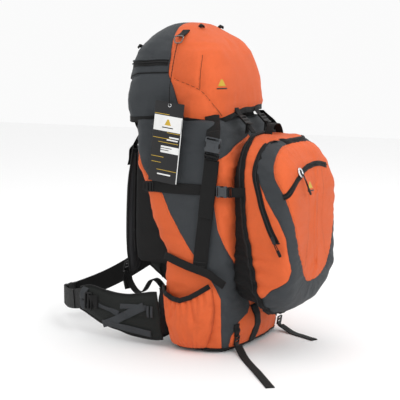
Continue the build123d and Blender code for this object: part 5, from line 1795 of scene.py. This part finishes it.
class BACKPACK_OT_lid_straps(BuildStep, bpy.types.Operator):
    """Thread the lid straps through their side release buckles"""

    bl_idname = "backpack.lid_straps"
    bl_label = "Lid straps and buckles"

    def execute(self, context):
        web = size("webbing")
        stitch = thread("black_thread", (0.02, 0.02, 0.02, 1))
        females, males, uppers = [], [], []
        for side, sign in (("left", -1), ("right", 1)):
            lean = unit(np.array([0, -35.4, 266.0]))
            foot = np.array([sign * 153.4, -12, 192.0])
            mouth = foot + lean * 284
            run = [(-1.2, 0), (-0.8, 30), (0.4, 80), (-0.4, 130), (0.6, 170), (-0.2, 205), (-0.6, 240), (0.6, 266)]
            line = smooth_line([foot + lean * d + (sign * h, 0, 0) for h, d in run], 4)
            normals = np.tile((sign, 0.0, 0.0), (len(line), 1))
            parts = [(strap_mesh("web", line, normals, 38, web), None, 0)]
            back = smooth_line([foot + lean * d + (sign * (2.4 + h), 0, 0) for h, d in run[3:]], 4)
            parts.append((strap_mesh("doubled", back, normals[:len(back)], 37, web), None, 0))
            for row in (4, 14, 24):
                bar = foot + lean * row + (sign * 1.2, 0, 0)
                parts.append((rounded_bar(32, 2.0, 1.0, 0.4), place((0, 1, 0), (0, 0, 1), bar), 1))
            obj = as_object(f"lid_strap_{side}", joined("web", parts), [black_webbing(), stitch], "pack")
            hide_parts(f"lid_webbing_{side}")
            across = np.cross((sign, 0, 0), lean)
            frame_up = place(lean, across, mouth + (sign * 4.5, 0, 0))
            females += put(female_buckle(30), frame_up)
            males += put(male_buckle(30), frame_up, 0)
            top = smooth_line([mouth + lean * 28 + (sign * 4.4, 0, 0), (sign * 152, -50, 512), (sign * 145, -46, 524),
                               (sign * 133, -37, 540), (sign * 122, -29, 556)], 3)
            face = np.linspace((sign, 0.0, 0.0), (sign * 0.8, -0.55, 0.1), len(top))
            uppers.append((strap_mesh("web", top, face, 34, web), None, 0))
            uppers.append((strap_mesh("doubled", top[:9] + face[:9] * 2, face[:9], 34, web), None, 0))
        grey = grey_plastic()
        obj = as_object("lid_buckle_sockets", joined("sockets", females), [grey], "lid")
        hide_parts("lid_buckle_females")
        obj = as_object("lid_buckle_tongues", joined("tongues", males), [black_plastic()], "pack")
        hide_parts("lid_buckle_males")
        obj = as_object("lid_upper_web", joined("uppers", uppers), [black_webbing()], "lid")
        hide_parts("lid_webbing_upper")
        self.rear_flap()
        self.front_straps()
        return {"FINISHED"}

    def rear_flap(self):
        rows = []
        for y, z in smooth_line([(172, 508), (181, 520), (187, 534), (189.5, 550), (192, 572), (196, 588)], 4)[:, :2]:
            rows.append([(x, y + 1.2 * math.sin(x * 0.09) * math.sin((z - 500) * 0.05), z)
                         for x in np.linspace(-118, 118, 60)])
        mesh = grid_mesh("flap", np.array(rows))
        solid = bpy.data.objects.new("flap", mesh)
        solid.modifiers.new("cloth", "SOLIDIFY").thickness = 1.0 * MM
        bpy.context.scene.collection.objects.link(solid)
        thick = bpy.data.meshes.new_from_object(solid.evaluated_get(bpy.context.evaluated_depsgraph_get()))
        bpy.data.objects.remove(solid)
        obj = as_object("lid_rear_flap", thick, [slate_cloth()], None)
        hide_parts("lid_flaps")
        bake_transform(obj)
        parts = []
        for x in (-86, 86):
            line = smooth_line([(x, 175, 506), (x, 184, 520), (x, 190, 534), (x, 192.5, 550), (x, 195, 572),
                                (x, 199, 590)], 3)
            out = unit(np.cross((1, 0, 0), tangents(line)))
            out[out[:, 1] < 0] *= -1
            parts.append((strap_mesh("web", line + out * 1.6, out, 25, size("webbing")), None, 0))
        straps = as_object("lid_rear_straps", joined("rear", parts), [black_webbing()], None)
        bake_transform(straps)

    def front_straps(self):
        parts, locks = [], []
        for x in (-48, 48):
            line = smooth_line([(x, -53, 570), (x, -60, 556), (x, -80, 536), (x, -99, 513)], 3)
            out = unit(np.cross((1, 0, 0), tangents(line)))
            out[out[:, 1] > 0] *= -1
            parts.append((strap_mesh("web", line, out, 20, size("webbing")), None, 0))
            middle = len(line) // 2
            locks += put(ladder_lock(20), place(tangents(line)[middle], np.cross(out[middle], tangents(line)[middle]),
                                                line[middle] + out[middle] * 1.5), 1)
            tail = smooth_line([line[middle] + out[middle] * 3, line[middle] + out[middle] * 8 + (0, -2, -14),
                                line[middle] + out[middle] * 7 + (2, 0, -34)], 3)
            parts.append((strap_mesh("tail", tail, (0, -1, 0.2), 19, size("webbing")), None, 0))
        obj = as_object("lid_front_web", joined("front", parts + locks), [black_webbing(), black_plastic()], "lid")
        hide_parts("front_lid_straps")


class BACKPACK_OT_side_straps(BuildStep, bpy.types.Operator):
    """Run the compression, lower and base straps with their buckles and ladder locks"""

    bl_idname = "backpack.side_straps"
    bl_label = "Compression straps"

    def execute(self, context):
        web = size("webbing")
        stitch = thread("black_thread", (0.02, 0.02, 0.02, 1))
        sockets, tongues, locks = [], [], []
        for side, sign in (("left", -1), ("right", 1)):
            out = np.array([sign, 0.0, 0.0])
            line = smooth_line([(sign * 150.8, y, 384 + dz) for y, dz in
                                ((137, 0), (110, 0.6), (60, -0.4), (0, 0.4), (-40, 0), (-60, 0))], 4)
            parts = [(strap_mesh("web", line, out, 25, web), None, 0)]
            for y in (134, 129):
                parts.append((rounded_bar(21, 1.8, 1.0, 0.4),
                              place((0, 0, 1), (0, 1, 0), (sign * 152.2, y, 384)), 1))
            obj = as_object(f"compression_web_{side}", joined("web", parts), [black_webbing(), stitch], "pack")
            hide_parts(f"compression_strap_{side}")
            low = smooth_line([(sign * 153, 82, 223), (sign * 154.4, 60, 216), (sign * 155, 20, 204),
                               (sign * 155, -37, 190), (sign * 153.4, -60, 177), (sign * 150.4, -78, 166)], 4)
            parts = [(strap_mesh("web", low, out, 20, web), None, 0)]
            obj = as_object(f"lower_web_{side}", joined("web", parts), [black_webbing()], "pack")
            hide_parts(f"lower_strap_{side}")
            frame_in = place((0, 1, 0), (0, 0, 1), (sign * 153.6, -86, 384))
            if sign < 0:
                frame_in = place((0, 1, 0), (0, 0, -1), (sign * 153.6, -86, 384))
            shrink = Matrix.Diagonal((0.78, 0.86, 0.78, 1))
            sockets += put(female_buckle(22), frame_in @ shrink)
            tongues += put(male_buckle(22), frame_in @ shrink, 0)
            hook = smooth_line([(sign * 153.4, -98, 384), (sign * 150, -106, 384), (sign * 143, -116, 384),
                                (sign * 136.5, -124, 384)], 2)
            tongues.append((strap_mesh("web", hook, (sign, -0.3, 0), 22, web), None, 1))
            rear = [((0, 0, 1), (sign * 151.6, 124, 384))]
            for along, spot in rear:
                locks += put(ladder_lock(20), place((0, 1, 0), np.cross(out, (0, 1, 0)), spot) @
                             Matrix.Diagonal((0.9, 0.9, 0.8, 1)))
        for x in (-80, 80):
            for spot, along in (((x, 210.5, 459), (0, -0.15, 1)), ((x, 239, 170), (0, 0.2, -1))):
                locks += put(ladder_lock(20), place(along, np.cross((0, 1, 0), along), spot) @
                             Matrix.Diagonal((0.92, 0.92, 0.85, 1)))
        for x in (-102, 125):
            locks += put(ladder_lock(18), place((0, 0.15, -1), (1, 0, 0), (x, -85.5, 27)) @
                         Matrix.Diagonal((0.85, 0.9, 0.8, 1)))
        obj = as_object("compression_sockets", joined("sockets", sockets), [grey_plastic()], "pack")
        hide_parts("compression_females")
        obj = as_object("compression_tongues", joined("tongues", tongues), [black_plastic(), black_webbing()],
                        "daypack")
        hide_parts("compression_males")
        obj = as_object("ladder_lock_set", joined("locks", locks), [black_plastic()], "pack")
        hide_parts("ladder_locks")
        self.base(stitch)
        return {"FINISHED"}

    def base(self, stitch):
        bag, parts = SURFACES["bag"], []
        for x, low, high, wide in ((-29, 4, 100, 30), (-102, 34, 66, 20), (125, 36, 62, 20)):
            line = np.array([(x, -70, z) for z in np.arange(high, low, -4.0)])
            points, normals = bag.lay(line, 1.4, (0.0, -1.0, 0.0), 60)
            parts.append((strap_mesh("web", points, normals, wide, size("webbing")), None, 0))
            for row in (-wide / 2 + 3, wide / 2 - 3):
                parts.append((stitches("stitch", points + (row, 0, 0) + normals * 0.8, normals, 3, 2), None, 1))
        obj = as_object("base_web", joined("web", parts), [black_webbing(), stitch], "pack")
        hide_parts("base_webbing")


class BACKPACK_OT_rings(BuildStep, bpy.types.Operator):
    """Fit the lash rings on their tabs, the tag, its cord and the zip sliders with their pulls"""

    bl_idname = "backpack.rings"
    bl_label = "Rings, tag and zip pulls"

    def execute(self, context):
        self.rings()
        self.tag()
        self.sliders()
        return {"FINISHED"}

    def rings(self):
        lid, parts = SURFACES["lid"], []
        for sign in (-1, 1):
            spots = [(sign * 84, 62, 752), (sign * 94, 62, 744)]
            points, normals = lid.lay(spots, 1.2, unit(np.array([[sign * 0.6, -0.2, 0.8]] * 2)), 80)
            bar = np.array([sign * 116.5, 62.0, 736.0])
            swing = unit(np.array([sign * 0.36, 0.0, -1.0]))
            across = np.array([0.0, 1.0, 0.0])
            out = np.cross(across, swing) * -sign
            tab = smooth_line([points[0], points[1], bar - (sign * 9, 0, -2.4), bar], 2)
            parts.append((strap_mesh("tab", tab, np.cross(across, tangents(tab)) * -sign, 19, 2.6), None, 0))
            ring = [bar + across * a + swing * d for a, d in [(-10, 0), (-10.6, 9), (-8, 15), (0, 17), (8, 15),
                                                             (10.6, 9), (10, 0)]]
            ring = smooth_line(ring, 1.5, closed=True)
            parts.append((tube_mesh("ring", ring, 1.5, closed=True, up=tuple(out), sides=10), None, 1))
        obj = as_object("lash_ring_tabs", joined("rings", parts),
                        [black_webbing(), moulded("dark_nickel", (0.2, 0.19, 0.18, 1), 0.25, 1.0, dust=0.02)], "lid")
        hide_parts("lash_rings")
        parts = []
        for sign in (-1, 1):
            for where, up in (((sign * 96, 186, 716), (0, 0.6, 0.6)), ((sign * 46, 44, 756), (0, -0.5, 0.8))):
                points, normals = lid.lay([where], 0.5, unit(np.array([up])), 60)
                p, n = points[0], normals[0]
                loop = smooth_line([p + (-8, 0, 0), p + (-5, 0, 0) + n * 5, p + n * 7, p + (5, 0, 0) + n * 5,
                                    p + (8, 0, 0)], 2)
                parts.append((strap_mesh("loop", loop, unit(loop - p + n * 0.1), 9, 1.6), None, 0))
        as_object("lid_gear_loops", joined("loops", parts), [black_webbing()], "lid")

    def tag(self):
        route = TAG_ROUTE
        line = resampled(route_curve("tag_route", route), 1.2)
        strands = []
        for turn in (0.0, math.pi):
            a = np.linspace(0, len(line) * 0.5, len(line)) + turn
            t = tangents(line)
            side = unit(np.cross(t, (0.3, 1, 0)))
            over = np.cross(side, t)
            strands.append((tube_mesh("strand", line + (side * np.cos(a)[:, None] + over * np.sin(a)[:, None]) * 0.45,
                                      0.62, sides=6), None, 0))
        cord = as_object("tag_string", joined("strands", strands), [black_webbing()], "tag")
        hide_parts("tag_cord")
        low, high = (np.array(v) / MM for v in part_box("hang_tag"))
        tilt = math.radians(7)
        along = np.array([0, math.cos(tilt), math.sin(tilt)])
        up = np.array([0, -math.sin(tilt), math.cos(tilt)])
        eyelet = np.array([(low[0] + high[0]) / 2, 56.0, 578.0])
        matrix = place(-along, -up, eyelet)
        card = [rounded_loop(78, 188, 1.2, 3, (0, 87)), circle_loop(2.6, 20)]
        parts = [(plate_mesh("card", card, 1.0, 0.25, 1), matrix, 0)]

        def ink(width, height, x, y, mark):
            for face in (0.62, -0.62):
                lift = Matrix.Translation((0, 0, face * MM))
                parts.append((plate_mesh("ink", [rounded_loop(width, height, 0.3, 2, (x, y))], 0.06, 0.02, 1),
                              matrix @ lift, mark))

        ink(76, 36, 0, 43, 1)
        ink(40, 1.4, -18, 22, 2)
        ink(36, 1.2, 18, 63.5, 2)
        ink(50, 1.2, -12, 78, 2)
        ink(26, 3.4, 20, 74, 1)
        ink(30, 3.0, 16, 80, 1)
        ink(54, 1.2, 6, 87, 2)
        ink(50, 16, 12, 103, 1)
        ink(30, 1.6, 2, 100, 0)
        ink(22, 1.6, -2, 105, 0)
        ink(34, 1.2, -20, 122, 2)
        ink(26, 1.2, -22, 135, 2)
        ink(54, 1.2, 8, 152, 2)
        ink(36, 3.2, 2, 162, 1)
        ink(2.2, 150, 37.6, 104, 1)
        for face in (0.66, -0.66):
            lift = Matrix.Translation((0, 0, face * MM))
            peak = [(-9, 47), (9, 47), (2, 33), (-2, 33)]
            parts.append((plate_mesh("ink", [peak[::-1]], 0.06, 0.02, 1), matrix @ lift, 2))
        ink(30, 2.4, 0, 52.5, 0)
        rim = [circle_loop(4.6, 28), circle_loop(2.7, 28)]
        parts.append((plate_mesh("eyelet", rim, 2.0, 0.6, 2), matrix, 3))
        parts.append((rounded_bar(5, 5, 4, 1.6), place((1, 0, 0), (0, 1, 0), eyelet + (-1.4, 0, 1)), 0))
        obj = as_object("tag_card", joined("tag", parts),
                        [printed("black_card", (0.012, 0.012, 0.013, 1)), printed("white_card", (0.78, 0.78, 0.77, 1)),
                         printed("gold_ink", colour("gold")),
                         moulded("chrome_plate", (0.7, 0.7, 0.71, 1), 0.18, 1.0, dust=0.02)], "tag")
        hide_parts("hang_tag")

    def sliders(self):
        pull_finish = [zip_metal(), black_webbing(), black_plastic()]
        day, lid = SURFACES["daypack"], SURFACES["lid"]
        jobs = [
            ("lid_zip", lid, (-90, 205, 672), (0, 1.0, 0.25), (1, 0, 0), "lid_slider", "lid_zip_slider", "lid_pull",
             "lid_zip_pull", 34),
            ("pocket_zip", day, (-68, -240, 421), (0, -1.0, 0), (1, 0, 0.35), "pocket_slider", "pocket_zip_slider",
             "pocket_pull", "pocket_zip_pull", 44),
            ("main_zip", day, (-140, -196, 283), (-1.0, -0.4, 0), (0, -0.4, -1), "main_slider", "main_zip_slider",
             "main_pull", "main_zip_pull", 40),
        ]
        for name, surface, spot, out, along, slider_body, slider_node, pull_body, pull_node, long in jobs:
            points, normals = surface.lay([spot], 1.8, unit(np.array([out])), 40)
            point, normal = points[0], normals[0]
            along = unit(np.array(along) - normal * np.dot(along, normal))
            slider = as_object(f"{name}_runner", joined("runner", zip_slider(point, along, normal)), [zip_metal()],
                               slider_body)
            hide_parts(slider_node)
            down = np.array([0, 0, -1.0])
            if name == "main_zip":
                down = np.array([0, -0.55, -1.0])
            down = unit(down - normal * np.dot(down, normal) + normal * 0.12)
            tab = as_object(f"{name}_puller", joined("puller", zip_pull(point + normal * 5.0, down, normal, long)),
                            pull_finish, pull_body)
            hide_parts(pull_node)


TAG_ROUTE = [(-0.1245, 0.062, 0.7195), (-0.137, 0.061, 0.697), (-0.1495, 0.0595, 0.6671), (-0.1615, 0.058, 0.6369),
             (-0.1705, 0.057, 0.6079), (-0.1704, 0.056, 0.579)]


# ---------------------------------------------------------------- hip belt
WING = [(93, 20, 132), (110, 17, 130), (136, 17, 125), (171, 20, 119), (200, 27, 117), (225, 31, 118),
        (249, 37, 121), (275, 48, 125), (296, 56, 128), (325, 66, 121)]


class BACKPACK_OT_hip_belt(BuildStep, bpy.types.Operator):
    """Pad the hip belt wings and add their grey straps, trims, webbing and buckle"""

    bl_idname = "backpack.hip_belt"
    bl_label = "Hip belt"

    def execute(self, context):
        for side, sign in (("left", -1), ("right", 1)):
            self.wing(side, sign)
            self.webbing(side, sign)
        self.buckle()
        return {"FINISHED"}

    def raised(self, sign, y):
        return max(y - 92.5, 0) / 232.5 * 60 if sign > 0 else 0.0

    def wing(self, side, sign):
        body = f"belt_{side}"
        rows = smooth_line(WING, 5)
        line = np.array([(sign * 159, y, (low + high) / 2 + self.raised(sign, y)) for y, low, high in rows])
        widths = np.array([high - low for y, low, high in rows])
        line[:, 0] += sign * 3.0 * np.sin(np.linspace(0, math.pi, len(line)))
        across = np.tile((0.0, 0, 1), (len(line), 1))
        tangent = tangents(line)
        across = unit(across - tangent * (across * tangent).sum(1)[:, None])
        normals = np.cross(tangent, across)
        normals[normals[:, 0] * sign < 0] *= -1
        cloth_finish = cloth("belt_cloth", colour("belt"), roughness=0.7, shade=0.35, crease=0.8)
        obj = padding(f"belt_pad_{side}", line, across, normals, widths, 12.5, body, "belt_fabric", cloth_finish,
                      (f"belt_wing_{side}",), channel=0.32, back=0.7, lip=4)[0]
        surface = Surface(obj.data)
        out = np.array([float(sign), 0, 0])
        grey = webbing("grey_webbing", colour("trim"))
        rise = lambda y: self.raised(sign, y)
        straps = [[(262, 84), (232, 78), (201, 71)], [(254, 38), (215, 52), (170, 76), (129, 97)],
                  [(196, 90), (160, 93), (123, 94)], [(240, 44), (205, 40), (160, 36), (112, 31)]]
        parts = []
        for number, course in enumerate(straps):
            points, normals_on = surface.lay(smooth_line([(sign * 170, y, z + rise(y)) for y, z in course], 4),
                                             1.1 + 0.9 * (number % 2), out, 40)
            parts.append((strap_mesh("web", points, normals_on, (14, 20, 12, 18)[number], 1.6), None, 0))
        for y in (118, 109):
            bar_line = [(sign * 170, y, z + rise(y)) for z in np.arange(72, 102, 3.0)]
            points, normals_on = surface.lay(bar_line, 2.2, out, 40)
            parts.append((strap_mesh("bar", points, normals_on, 6, 1.8), None, 0))
        trim_line = [(sign * 170, y, z + rise(y)) for y, z in ((304, 122), (309, 108), (310, 94), (308, 82), (303, 70))]
        points, normals_on = surface.lay(smooth_line(trim_line, 3), 1.3, out, 40)
        parts.append((strap_mesh("trim", points, normals_on, 22, 2.0), None, 0))
        as_object(f"belt_grey_straps_{side}", joined("greys", parts), [grey], body)
        lock = []
        points, normals_on = surface.lay([(sign * 170, 290, 92 + rise(290))], 5.0, out, 40)
        frame_at = place((0, 1, 0), np.cross(normals_on[0], (0, 1, 0)), points[0])
        ring = [rounded_loop(22, 44, 4, 4), rounded_loop(5, 36, 2, 3, (-5, 0)), rounded_loop(5, 36, 2, 3, (5, 0))]
        lock.append((plate_mesh("triglide", ring, 4.6, 1.3, 3), frame_at, 0))
        anchor_line = [(sign * 170, y, 92 + rise(y)) for y in np.arange(262, 316, 4.0)]
        anchor, normals_on = surface.lay(anchor_line, 2.4, out, 40)
        lock.append((strap_mesh("anchor", anchor, normals_on, 34, 2.0), None, 1))
        as_object(f"belt_triglide_{side}", joined("lock", lock), [black_plastic(), black_webbing()], body)

    def webbing(self, side, sign):
        low, high = (np.array(v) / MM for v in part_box(f"belt_webbing_{side}"))
        top = 152 if sign > 0 else 92
        inner = high[0] if sign < 0 else low[0]
        start, stop = np.array([sign * 154.0, 322, top]), np.array([inner, 474.5, 58.0])
        line = []
        for t in np.linspace(0, 1, 60):
            bow = math.sin(math.pi * t)
            point = start + (stop - start) * t
            point = point + np.array([sign * 7.0, 4.0, -5.0 - (6 if sign > 0 else 0)]) * bow
            line.append(point)
        line = np.array(line)
        out = unit(np.cross(tangents(line), (0, 0, 1)))
        out[(out * (sign, 1, 0)).sum(1) < 0] *= -1
        thick = size("webbing") + 0.4
        parts = [(strap_mesh("web", line, out, 50, thick), None, 0)]
        half = line[18:-4]
        parts.append((strap_mesh("doubled", half + out[18:-4] * 2.2, out[18:-4], 49, thick), None, 0))
        obj = as_object(f"belt_web_{side}", joined("web", parts), [black_webbing()], f"belt_{side}")
        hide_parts(f"belt_webbing_{side}")

    def buckle(self):
        low, high = (np.array(v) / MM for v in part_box("belt_buckle_female"))
        middle = (low + high) / 2
        mouth = place((-1, 0, 0), (0, 0, 1), (high[0] - 0.5, middle[1], middle[2]))
        scale = Matrix.Diagonal((1.0, (high[2] - low[2]) / 53.0, 1.25, 1))
        obj = as_object("belt_socket", joined("socket", put(female_buckle(44), mouth @ scale)), [black_plastic()],
                        "belt_left")
        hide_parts("belt_buckle_female")
        obj = as_object("belt_tongue", joined("tongue", put(male_buckle(44), mouth @ scale)), [black_plastic()],
                        "belt_right")
        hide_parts("belt_buckle_male")


class BACKPACK_OT_kept_parts(BuildStep, bpy.types.Operator):
    """Give the frame parts that stay as they are their finishes"""

    bl_idname = "backpack.kept_parts"
    bl_label = "Frame part finishes"

    def execute(self, context):
        finishes = {
            "frame_stays": moulded("brushed_aluminium", (0.62, 0.63, 0.65, 1), 0.34, 1.0, streak=0.6, dust=0.03),
            "frame_sheet": moulded("polyethylene_sheet", (0.05, 0.05, 0.052, 1), 0.5, grain=500.0),
            "sternum_buckle": black_plastic(),
        }
        for node, finish in finishes.items():
            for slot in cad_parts[node].material_slots:
                slot.material = finish
        return {"FINISHED"}


# ---------------------------------------------------------------- panel and main
STEPS = [BACKPACK_OT_stage, BACKPACK_OT_strap_tails, BACKPACK_OT_main_bag, BACKPACK_OT_lid, BACKPACK_OT_daypack,
         BACKPACK_OT_side_pockets, BACKPACK_OT_back_padding, BACKPACK_OT_shoulder_straps,
         BACKPACK_OT_lid_straps, BACKPACK_OT_side_straps, BACKPACK_OT_rings, BACKPACK_OT_hip_belt,
         BACKPACK_OT_kept_parts]


class BACKPACK_PT_panel(bpy.types.Panel):
    """Lists the building steps of the backpack in order"""

    bl_idname = "BACKPACK_PT_panel"
    bl_label = "Hiking backpack"
    bl_space_type = "VIEW_3D"
    bl_region_type = "UI"
    bl_category = "Backpack"

    def draw(self, context):
        for step in STEPS:
            self.layout.operator(step.bl_idname)
        for settings in (context.scene.backpack_sizes, context.scene.backpack_colours):
            for key in settings.__annotations__:
                self.layout.prop(settings, key)


CLASSES = [BackpackColours, BackpackSizes, *STEPS, BACKPACK_PT_panel]


def register():
    for cls in CLASSES:
        bpy.utils.register_class(cls)
    bpy.types.Scene.backpack_colours = PointerProperty(type=BackpackColours)
    bpy.types.Scene.backpack_sizes = PointerProperty(type=BackpackSizes)


def unregister():
    del bpy.types.Scene.backpack_sizes
    del bpy.types.Scene.backpack_colours
    for cls in reversed(CLASSES):
        bpy.utils.unregister_class(cls)


def main():
    register()
    for step in STEPS:
        group, name = step.bl_idname.split(".")
        getattr(getattr(bpy.ops, group), name)()


if __name__ == "__main__":
    main()
